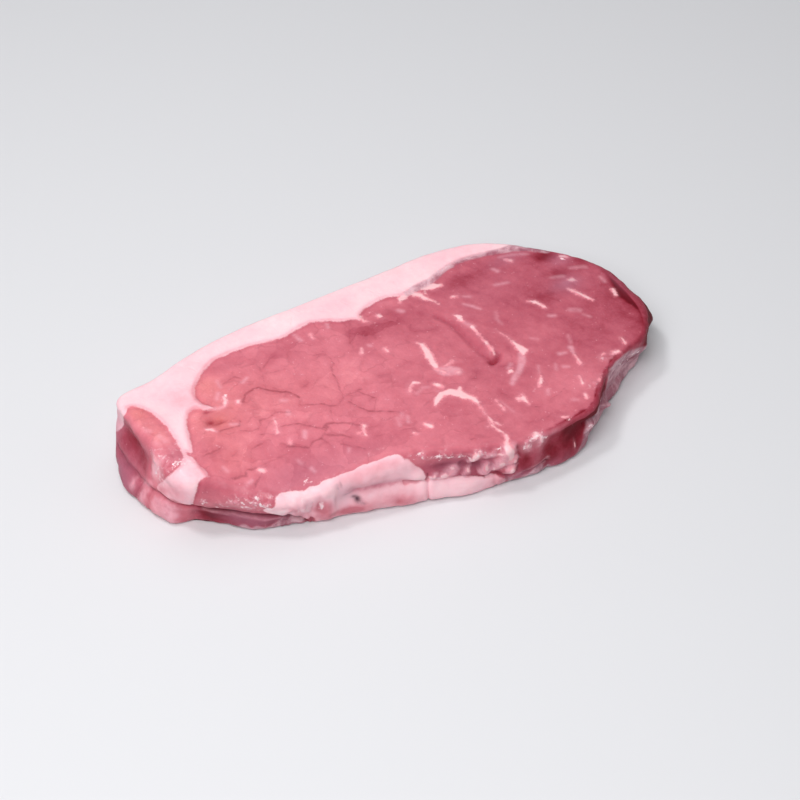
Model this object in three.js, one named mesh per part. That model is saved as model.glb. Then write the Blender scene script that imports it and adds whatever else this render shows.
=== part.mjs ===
// A raw beef steak cut across the loin: one solid slab of meat with a fat cap along its back edge.
// Millimetres, +Z up. The steak lies flat on z = 0, its length runs along X and its fat cap is on the +Y side.
import * as THREE from "three";

// ---- driving dimensions -------------------------------------------------------------------------------

// Seen from above, the cut face's edge. Stations run from the back left corner down the left end, along the
// front, round the right end and back along the fat cap. Each is [x, y, how far the foot stands out].
const STATIONS = [
  [-98.0, 39.0, 1.0], [-100.0, 27.5, 5.5], [-100.2, 14.5, 6.0], [-100.0, 2.0, 2.8],
  [-97.0, -7.5, -2.6], [-87.5, -13.5, -1.8], [-74.0, -24.0, -1.0], [-60.0, -29.5, -1.5],
  [-43.5, -32.5, 1.2], [-26.5, -35.5, 3.8], [-9.5, -42.5, 3.1], [5.0, -48.5, 0.8],
  [22.5, -50.5, 1.4], [39.5, -50.0, 1.4], [47.5, -46.5, -1.6], [54.5, -40.0, 0.6],
  [62.0, -35.5, 0.4], [73.0, -31.0, -1.4], [83.5, -28.0, -2.4],
  [90.5, -18.0, -1.0], [93.5, -3.0, 0.5], [91.6, 12.4, 1.0], [79.8, 28.2, 0.0],
  [61.2, 43.6, 0.0], [40.0, 49.3, 0.0], [7.5, 49.0, 0.0], [-24.0, 48.9, 0.0],
  [-49.5, 48.5, 0.0], [-68.5, 45.4, 0.0], [-83.5, 41.3, 0.0],
];
// The stations that are corners of the slab: back left, front left, front right, back right.
const CORNERS = [0, 4, 18, 22];

const THICKNESS = 21.9; // at the middle of the slab
const TAPER_X = 0.032; // the slab is thicker at its left end
const TAPER_Y = 0.035; // and under the fat cap
// The face sags where the knife left the front left edge thin, and a little along the front.
const SAGS = [
  { x: -76, y: -30, rx: 30, ry: 17, depth: 7.6 },
  { x: 30, y: -55, rx: 26, ry: 26, depth: 1.2 },
];
// Relief on the cut face: the second muscle, the dip in front of it, the small corner muscle and the fat.
const SWELLS = [
  { x: 60, y: 16, rx: 26, ry: 20, depth: -0.9 },
  { x: 23, y: 2, rx: 7, ry: 22, depth: 1.1 },
  { x: -94, y: 18, rx: 6, ry: 13, depth: -0.8 },
  { x: -40, y: 5, rx: 30, ry: 22, depth: -0.6 },
  { x: 10, y: 44, rx: 60, ry: 5, depth: -0.5 },
];
// The seam between the two muscles: a groove that runs along Y and ends in a small pit.
const SEAM = { x: 27.5, from: -13, to: 18, halfWidth: 3.0, depth: 1.6 };

// Relief on the side, at a station and a height: creases between layers go in, layers of fat stand out.
const SIDE = [
  { at: 2.2, z: 10.5, ra: 1.7, rz: 2.0, out: -1.6 }, // crease round the left end
  { at: 1.4, z: 5.0, ra: 0.8, rz: 4.0, out: 1.0 }, // lower layer of the left end
  { at: 3.4, z: 3.0, ra: 0.4, rz: 4.0, out: 1.2 }, // its corner
  { at: 4.25, z: 2.0, ra: 0.45, rz: 4.0, out: -2.4 }, // the foot steps back beside the corner
  { at: 5.0, z: 8.5, ra: 1.3, rz: 1.8, out: -1.9 }, // crease under the thin front left edge
  { at: 6.3, z: 2.5, ra: 0.5, rz: 3.0, out: -1.4 }, // foot behind the end of the strip of fat
  { at: 6.5, z: 12.0, ra: 0.5, rz: 4.0, out: 1.1 }, // end of the front strip of fat
  { at: 8.5, z: 17.0, ra: 0.9, rz: 2.8, out: 1.2 }, // upper lobe of the strip of fat
  { at: 8.6, z: 12.4, ra: 0.7, rz: 1.8, out: -1.6 }, // groove under the lobe
  { at: 10.0, z: 13.8, ra: 0.6, rz: 2.8, out: -2.3 }, // recess right of the strip
  { at: 9.6, z: 5.0, ra: 0.9, rz: 3.6, out: 1.0 }, // lower band of fat
  { at: 12.6, z: 10.0, ra: 0.5, rz: 6.0, out: -1.1 }, // hollow in the lean side
  { at: 16.4, z: 9.0, ra: 0.9, rz: 5.0, out: -1.2 }, // hollow under the membrane at the right
  { at: 19.45, z: 12.5, ra: 0.7, rz: 4.6, out: 4.8 }, // flap that stands out at the right end
];

const EDGE_RADIUS = 1.8; // upper edge along the fat cap
const SOFT_EDGE = 2.8; // how much rounder the lean edges are on the left
const RIGHT_EDGE = 2.0; // and round the right end
const FOOT_RADIUS = 2.5; // lower edge

const LENGTH_STEPS = 40; // faces of the mesh along the slab
const WIDTH_STEPS = 20; // and across it
const EDGE_ROWS = 3; // rows round the upper edge
const SIDE_ROWS = 7; // rows down the side
const FOOT_ROWS = 3; // rows round the lower edge
const CURVE_SAMPLES = 400; // used to measure the arc length between two corners

// ---- the curve through the stations -------------------------------------------------------------------

// A closed Catmull-Rom curve through the stations. t counts stations.
function station(t) {
  const count = STATIONS.length;
  const k = Math.floor(t);
  const f = t - k;
  const [a, b, c, d] = [-1, 0, 1, 2].map((j) => STATIONS[(((k + j) % count) + count) % count]);
  return b.map((_, i) => 0.5 * (2 * b[i] + (c[i] - a[i]) * f
    + (2 * a[i] - 5 * b[i] + 4 * c[i] - d[i]) * f ** 2
    + (3 * b[i] - a[i] - 3 * c[i] + d[i]) * f ** 3));
}

// Curve parameters from one station to another, at equal steps of arc length, without the last one.
function evenParameters(from, to, steps) {
  const parameters = [from];
  const lengths = [0];
  for (let i = 1; i <= CURVE_SAMPLES; i += 1) {
    const t = from + ((to - from) * i) / CURVE_SAMPLES;
    const [x0, y0] = station(parameters[i - 1]);
    const [x1, y1] = station(t);
    parameters.push(t);
    lengths.push(lengths[i - 1] + Math.hypot(x1 - x0, y1 - y0));
  }
  const total = lengths[CURVE_SAMPLES];
  const even = [];
  let k = 0;
  for (let i = 0; i < steps; i += 1) {
    const wanted = (total * i) / steps;
    while (lengths[k + 1] < wanted) k += 1;
    const share = (wanted - lengths[k]) / (lengths[k + 1] - lengths[k]);
    even.push(parameters[k] + share * (parameters[k + 1] - parameters[k]));
  }
  return even;
}

// ---- the surfaces -------------------------------------------------------------------------------------

const bell = (distance, width) => Math.exp(-((distance / width) ** 2));
const ramp = (value, width) => 1 / (1 + Math.exp(-value / width));
const smooth = (q) => q * q * (3 - 2 * q);

// Height of the cut face above the surface that the steak lies on.
function faceHeight(x, y) {
  let z = THICKNESS - TAPER_X * x + TAPER_Y * y;
  for (const s of [...SAGS, ...SWELLS]) z -= s.depth * bell(x - s.x, s.rx) * bell(y - s.y, s.ry);
  const along = ramp(y - SEAM.from, 1.5) * ramp(SEAM.to - y, 4);
  return z - SEAM.depth * bell(x - SEAM.x, SEAM.halfWidth) * along;
}

// How far the side stands out at a station and a height.
function sideRelief(t, z) {
  return SIDE.reduce((sum, s) => sum + s.out * bell(t - s.at, s.ra) * bell(z - s.z, s.rz), 0);
}

// One column of the side: the edge, the side and the foot, as [how far out, height] from the top down.
function column(t) {
  const [x, y, foot] = station(t);
  const edge = EDGE_RADIUS + SOFT_EDGE * ramp(25 - y, 4) * ramp(-20 - x, 12)
    + RIGHT_EDGE * bell(x - 104, 22) * bell(y - 8, 26);
  const top = faceHeight(x, y);
  const points = [];
  for (let i = 0; i < EDGE_ROWS; i += 1) {
    const angle = (i / EDGE_ROWS) * (Math.PI / 2);
    points.push([-edge * (1 - Math.sin(angle)), top - edge * (1 - Math.cos(angle))]);
  }
  for (let i = 0; i < SIDE_ROWS; i += 1) {
    const q = i / SIDE_ROWS;
    const z = (top - edge) * (1 - q) + FOOT_RADIUS * q;
    points.push([foot * smooth(q) + sideRelief(t, z), z]);
  }
  for (let i = 0; i <= FOOT_ROWS; i += 1) {
    const angle = (i / FOOT_ROWS) * (Math.PI / 2);
    const rise = FOOT_RADIUS * (1 - Math.sin(angle));
    points.push([foot + sideRelief(t, rise) - FOOT_RADIUS * (1 - Math.cos(angle)), rise]);
  }
  return points;
}

// ---- the solid ----------------------------------------------------------------------------------------

// A closed body: a grid for the cut face, rows of faces round the side and one flat face below.
function slab() {
  const [a, b, c, d] = CORNERS;
  const parameters = [
    ...evenParameters(a, b, WIDTH_STEPS), ...evenParameters(b, c, LENGTH_STEPS),
    ...evenParameters(c, d, WIDTH_STEPS), ...evenParameters(d, a + STATIONS.length, LENGTH_STEPS),
  ];
  const around = parameters.length;
  const rims = parameters.map((t) => station(t));
  const rings = [];
  parameters.forEach((t, k) => {
    const [x0, y0] = rims[(k + around - 1) % around];
    const [x1, y1] = rims[(k + 1) % around];
    const length = Math.hypot(x1 - x0, y1 - y0);
    const out = [(y1 - y0) / length, (x0 - x1) / length];
    column(t).forEach(([distance, z], row) => {
      rings[row] ??= [];
      rings[row].push([rims[k][0] + out[0] * distance, rims[k][1] + out[1] * distance, z]);
    });
  });

  const vertices = [];
  const triangles = [];
  const add = (point) => vertices.push(point) - 1;
  const quad = (p, q, r, s) => triangles.push([p, q, r], [p, r, s]);
  const ringIndex = rings.map((ring) => ring.map(add));

  // The cut face is stretched between its four edges: a Coons patch in plan, at the height of the face.
  const edgePoint = (i, j) => {
    if (i === 0) return j;
    if (j === WIDTH_STEPS) return WIDTH_STEPS + i;
    if (i === LENGTH_STEPS) return 2 * WIDTH_STEPS + LENGTH_STEPS - j;
    return (around - i) % around;
  };
  const plan = (i, j) => rings[0][edgePoint(i, j)];
  const face = [];
  for (let i = 0; i <= LENGTH_STEPS; i += 1) {
    face.push([]);
    for (let j = 0; j <= WIDTH_STEPS; j += 1) {
      const inside = i > 0 && i < LENGTH_STEPS && j > 0 && j < WIDTH_STEPS;
      if (inside) {
        const u = i / LENGTH_STEPS;
        const v = j / WIDTH_STEPS;
        const [x, y] = [0, 1].map((n) => (1 - u) * plan(0, j)[n] + u * plan(LENGTH_STEPS, j)[n]
          + (1 - v) * plan(i, 0)[n] + v * plan(i, WIDTH_STEPS)[n]
          - (1 - u) * ((1 - v) * plan(0, 0)[n] + v * plan(0, WIDTH_STEPS)[n])
          - u * ((1 - v) * plan(LENGTH_STEPS, 0)[n] + v * plan(LENGTH_STEPS, WIDTH_STEPS)[n]));
        face[i].push(add([x, y, faceHeight(x, y)]));
      } else {
        face[i].push(ringIndex[0][edgePoint(i, j)]);
      }
    }
  }
  for (let i = 0; i < LENGTH_STEPS; i += 1) {
    for (let j = 0; j < WIDTH_STEPS; j += 1) {
      quad(face[i][j], face[i][j + 1], face[i + 1][j + 1], face[i + 1][j]);
    }
  }
  for (let row = 0; row < rings.length - 1; row += 1) {
    for (let k = 0; k < around; k += 1) {
      const next = (k + 1) % around;
      quad(ringIndex[row][k], ringIndex[row + 1][k], ringIndex[row + 1][next], ringIndex[row][next]);
    }
  }
  const last = rings.length - 1;
  const outline = rings[last].map(([x, y]) => new THREE.Vector2(x, y));
  for (const [p, q, r] of THREE.ShapeUtils.triangulateShape(outline, [])) {
    const turn = outline[q].clone().sub(outline[p]).cross(outline[r].clone().sub(outline[p]));
    const down = turn > 0 ? [p, r, q] : [p, q, r];
    triangles.push(down.map((n) => ringIndex[last][n]));
  }

  const geometry = new THREE.BufferGeometry();
  geometry.setAttribute("position", new THREE.Float32BufferAttribute(vertices.flat(), 3));
  geometry.setIndex(triangles.flat());
  // The origin is below the middle of the steak, on the surface that it lies on.
  geometry.computeBoundingBox();
  const { min, max } = geometry.boundingBox;
  geometry.translate(-(min.x + max.x) / 2, -(min.y + max.y) / 2, -min.z);
  geometry.computeVertexNormals();
  return geometry;
}

const rawMeat = new THREE.MeshStandardMaterial({ color: 0xd27482, roughness: 0.45, metalness: 0 });
const steak = new THREE.Mesh(slab(), rawMeat);
steak.name = "steak";

const model = new THREE.Group();
model.add(steak);

export default model;
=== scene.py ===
"""A raw beef steak cut across the loin, lying flat on its cut face.

The body is one closed mesh: a fine grid for the upper cut face, rows of faces down the side and a coarser
grid below. Its outline, thickness and side are worked out in millimetres, and so is every marking. Each
marking is a distance field over the cut face, (x, y), or over the unrolled side, (s, z), with s the arc
length round the rim from the back left corner and z the height. The same fields shape the surface and, as
attributes of its points, drive the colour, so that a streak of fat or a crease is in the same place in the
mesh and in the paint.
"""

import bpy
import numpy as np
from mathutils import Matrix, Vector


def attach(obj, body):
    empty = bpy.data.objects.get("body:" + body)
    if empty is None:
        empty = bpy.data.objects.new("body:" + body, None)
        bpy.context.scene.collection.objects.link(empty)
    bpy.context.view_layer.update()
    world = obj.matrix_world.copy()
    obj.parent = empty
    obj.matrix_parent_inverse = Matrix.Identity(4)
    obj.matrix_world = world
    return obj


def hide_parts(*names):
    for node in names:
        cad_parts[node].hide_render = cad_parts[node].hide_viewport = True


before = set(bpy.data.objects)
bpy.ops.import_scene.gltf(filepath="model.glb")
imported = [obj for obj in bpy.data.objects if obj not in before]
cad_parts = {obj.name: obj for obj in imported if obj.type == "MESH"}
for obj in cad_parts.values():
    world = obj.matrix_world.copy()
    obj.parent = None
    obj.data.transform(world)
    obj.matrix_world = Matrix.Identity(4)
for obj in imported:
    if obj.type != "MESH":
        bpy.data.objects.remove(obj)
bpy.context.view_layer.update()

MM = 0.001

# ---- the slab -----------------------------------------------------------------------------------------

# Seen from above, the rim of the cut face: x, y, and how far the foot stands out. Stations run from the
# back left corner down the left end, along the front, round the right end and back along the fat cap.
STATIONS = np.array([
    (-98.0, 39.0, 1.0), (-100.0, 27.5, 5.5), (-100.2, 14.5, 6.0), (-100.0, 2.0, 2.8), (-97.0, -7.5, -2.6),
    (-87.5, -13.5, -1.8), (-74.0, -24.0, -1.0), (-60.0, -29.5, -1.5), (-43.5, -32.5, 1.2),
    (-26.5, -35.5, 3.8), (-9.5, -42.5, 3.1), (5.0, -48.5, 0.8), (22.5, -50.5, 1.4), (39.5, -50.0, 1.4),
    (47.5, -46.5, -1.6), (54.5, -40.0, 0.6), (62.0, -35.5, 0.4), (73.0, -31.0, -1.4), (83.5, -28.0, -2.4),
    (90.5, -18.0, -1.0), (93.5, -3.0, 0.5), (91.6, 12.4, 1.0), (79.8, 28.2, 0.0), (61.2, 43.6, 0.0),
    (40.0, 49.3, 0.0), (7.5, 49.0, 0.0), (-24.0, 48.9, 0.0), (-49.5, 48.5, 0.0), (-68.5, 45.4, 0.0),
    (-83.5, 41.3, 0.0),
])
CORNERS = (0, 4, 18, 22)  # back left, front left, front right, back right
MIDDLE = (-4.92, -1.18)  # middle of the slab's box, which is the frame's origin

THICKNESS = 21.9  # at the middle
TAPER_X = 0.032  # thicker at the left end
TAPER_Y = 0.035  # and under the fat cap

# Sags of the upper face, less its swells.
FACE_SAGS = (
    # the thin edge at the front left, and the low front
    (-76, -30, 30, 17, 7.6), (30, -55, 26, 26, 1.2),
    # the muscles and the fat cap
    (60, 16, 26, 20, -0.9), (21, 2, 7, 22, 0.9), (-94, 18, 6, 13, -0.8), (-40, 5, 30, 22, -0.6),
    (10, 44, 60, 5, -0.5),
)

EDGE_RADIUS = 1.8  # upper edge along the fat cap
SOFT_EDGE = 2.8  # how much rounder the lean edges are on the left
RIGHT_EDGE = 2.0  # and round the right end
FOOT_RADIUS = 2.5  # lower edge

LENGTH_STEPS = 320  # faces along the upper face, an even number
WIDTH_STEPS = 150  # and across it, an even number
EDGE_ROWS = 6  # rows of faces round the upper edge
SIDE_ROWS = 22
FOOT_ROWS = 4
LAST_S = 300  # past this s counts back from the start of the rim, below 0
LOWER_SHARE = 0.985  # the lower face's ring, as a share of the foot's

# Every marking where there is none of it: distances outside a mark, and shades.
NO_MARKS = {"fat": -9.0, "marble": -9.0, "haze": 0.0, "silver": -9.0, "crack": 9.0, "tone": 1.0,
            "warm": 0.0, "flush": 0.0, "mauve": 0.0, "bruise": 0.0, "wet": 0.0, "cells": 0.0, "glint": -9.0}


def bell(distance, width):
    """1 at the centre, falling as exp(-(distance / width)^2)."""
    return np.exp(-((distance / width) ** 2))


def ramp(value, width):
    """From 0 to 1 as value passes through 0: 1 / (1 + exp(-value / width))."""
    return 1 / (1 + np.exp(-np.clip(value / width, -40, 40)))


def smooth(q):
    """3 q^2 - 2 q^3 of q held between 0 and 1."""
    q = np.clip(q, 0, 1)
    return q * q * (3 - 2 * q)


def patches(u, v, table):
    """Sum of round swells: each row is (u, v, half size in u, half size in v, amount)."""
    total = 0 * u
    for cu, cv, ru, rv, amount in table:
        total = total + amount * bell(u - cu, ru) * bell(v - cv, rv)
    return total


def closed_curve(points, t):
    """The closed Catmull-Rom curve through points, at parameters t that count them."""
    count = len(points)
    k = np.floor(t).astype(int)
    f = (t - k)[:, None]
    a, b, c, d = (points[(k + j) % count] for j in (-1, 0, 1, 2))
    return 0.5 * (2 * b + (c - a) * f + (2 * a - 5 * b + 4 * c - d) * f**2 + (3 * b - a - 3 * c + d) * f**3)


def even_parameters(a, b, steps):
    """steps + 1 parameters from station a to station b, at equal steps of arc length along the rim."""
    t = np.linspace(a, b, 401)
    x, y, _ = closed_curve(STATIONS, t).T
    lengths = np.concatenate([[0], np.cumsum(np.hypot(np.diff(x), np.diff(y)))])
    return np.interp(np.linspace(0, lengths[-1], steps + 1), lengths, t)


# ---- random fields ------------------------------------------------------------------------------------


def lattice(points, size, seed):
    """Values from -1 to 1 at random on a cubic lattice `size` mm apart, blended smoothly in between."""
    q = points / size
    cell = np.floor(q).astype(np.int64)
    f = smooth(q - cell)
    total = 0
    for corner in np.ndindex(2, 2, 2):
        i, j, k = (cell + np.array(corner)).T
        h = (i * 374761393 + j * 668265263 + k * 1442695041 + seed * 974711) & 0xFFFFFFFF
        h = ((h ^ (h >> 13)) * 1274126177) & 0xFFFFFFFF
        value = ((h ^ (h >> 16)) & 0xFFFF) / 32767.5 - 1
        total = total + value * np.prod(np.where(corner, f, 1 - f), axis=1)
    return total


def cloud(points, size, seed, octaves=3):
    """Lattice noise with finer and fainter copies of itself: sum of noise(size / 2^n) / 2^n."""
    return sum(lattice(points, size / 2**n, seed + n) / 2**n for n in range(octaves))


# ---- distances ----------------------------------------------------------------------------------------


def to_chain(u, v, points, widths=None):
    """Distance to the nearest point of a chain of straight pieces, less the chain's half width there."""
    points = np.asarray(points, float)
    widths = np.broadcast_to(0.0 if widths is None else widths, len(points))
    best = np.full(np.shape(u), 1e9)
    for (u0, v0), (u1, v1), w0, w1 in zip(points[:-1], points[1:], widths[:-1], widths[1:]):
        du, dv = u1 - u0, v1 - v0
        q = np.clip(((u - u0) * du + (v - v0) * dv) / max(du * du + dv * dv, 1e-9), 0, 1)
        best = np.minimum(best, np.hypot(u - u0 - q * du, v - v0 - q * dv) - (w0 + (w1 - w0) * q))
    return best


def inside(u, v, points):
    """Distance to the edge of a closed outline, a smooth curve through the points, positive inside."""
    points = closed_curve(np.asarray(points, float), np.arange(0, len(points), 0.25))
    ring = np.vstack([points, points[:1]])
    crossings = np.zeros(np.shape(u), int)
    for (u0, v0), (u1, v1) in zip(ring[:-1], ring[1:]):
        spans = (v0 > v) != (v1 > v)
        crossings += spans & (u < u0 + (v - v0) * (u1 - u0) / (v1 - v0 if v1 != v0 else 1e-9))
    distance = to_chain(u, v, ring)
    return np.where(crossings % 2 == 1, distance, -distance)


# ---- markings on the cut face -------------------------------------------------------------------------

# The large muscle. Past the rim its outline only has to stay outside the slab.
LEAN = (
    (-88.8, -10.0), (-88.6, -5.0), (-89.6, 0.0), (-90.3, 3.6), (-88.6, 2.6), (-87.2, 5.0), (-85.6, 10.0),
    (-83.4, 15.5), (-80.6, 19.2), (-77.8, 20.2), (-75.2, 18.6), (-73.2, 17.4), (-72.0, 17.6), (-73.0, 19.2),
    (-74.6, 21.4), (-74.7, 25.2), (-73.4, 28.5), (-69.5, 32.8), (-65.0, 36.0), (-61.0, 38.2), (-57.0, 38.7),
    (-50.0, 38.9), (-44.0, 38.2), (-38.5, 36.9), (-34.0, 36.2), (-30.0, 36.5), (-25.5, 37.8), (-20.5, 37.8),
    (-15.5, 36.2), (-10.5, 33.4), (-6.0, 31.6), (-3.6, 30.4), (-2.8, 32.4), (0.0, 34.2), (4.0, 35.4),
    (8.5, 36.0), (12.5, 35.6), (15.5, 34.4), (19.0, 33.6), (23.0, 34.6), (27.0, 35.4), (32.0, 36.0),
    (37.0, 37.8), (43.0, 39.0), (50.0, 39.0), (57.0, 37.6), (63.0, 36.2), (68.0, 35.0), (73.0, 34.0),
    (82.0, 38.0), (110.0, 25.0), (110.0, -60.0), (0.0, -75.0), (-60.0, -55.0), (-100.0, -32.0),
    (-101.5, -18.0), (-99.0, -16.5), (-95.5, -12.8), (-92.0, -10.2),
)
# The small muscle at the back left, which runs out over the left end.
CORNER_MUSCLE = (
    (-97.0, 32.3), (-94.3, 31.0), (-92.3, 27.0), (-91.0, 22.0), (-90.4, 16.0), (-90.8, 9.0), (-91.6, 3.5),
    (-93.2, 0.6), (-95.5, -0.8), (-98.0, -0.2), (-99.8, 0.8), (-104.0, -1.0), (-112.0, 0.0), (-112.0, 25.0),
    (-103.0, 29.0), (-99.5, 31.0),
)
# The strip of fat along the front, where it comes over the rim.
FRONT_STRIP = (
    (-78.0, -28.8), (-76.2, -27.0), (-73.8, -25.6), (-71.3, -24.9), (-68.6, -25.0), (-65.4, -26.0),
    (-63.4, -28.4), (-61.4, -28.8), (-59.6, -27.8), (-57.4, -28.3), (-54.2, -28.1), (-51.4, -29.6),
    (-48.4, -29.2), (-44.8, -30.9), (-41.1, -30.5), (-36.0, -32.0), (-31.8, -32.4), (-28.8, -33.4),
    (-27.0, -35.8), (-26.2, -40.0), (-30.0, -55.0), (-70.0, -50.0), (-80.0, -36.0),
)
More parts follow.
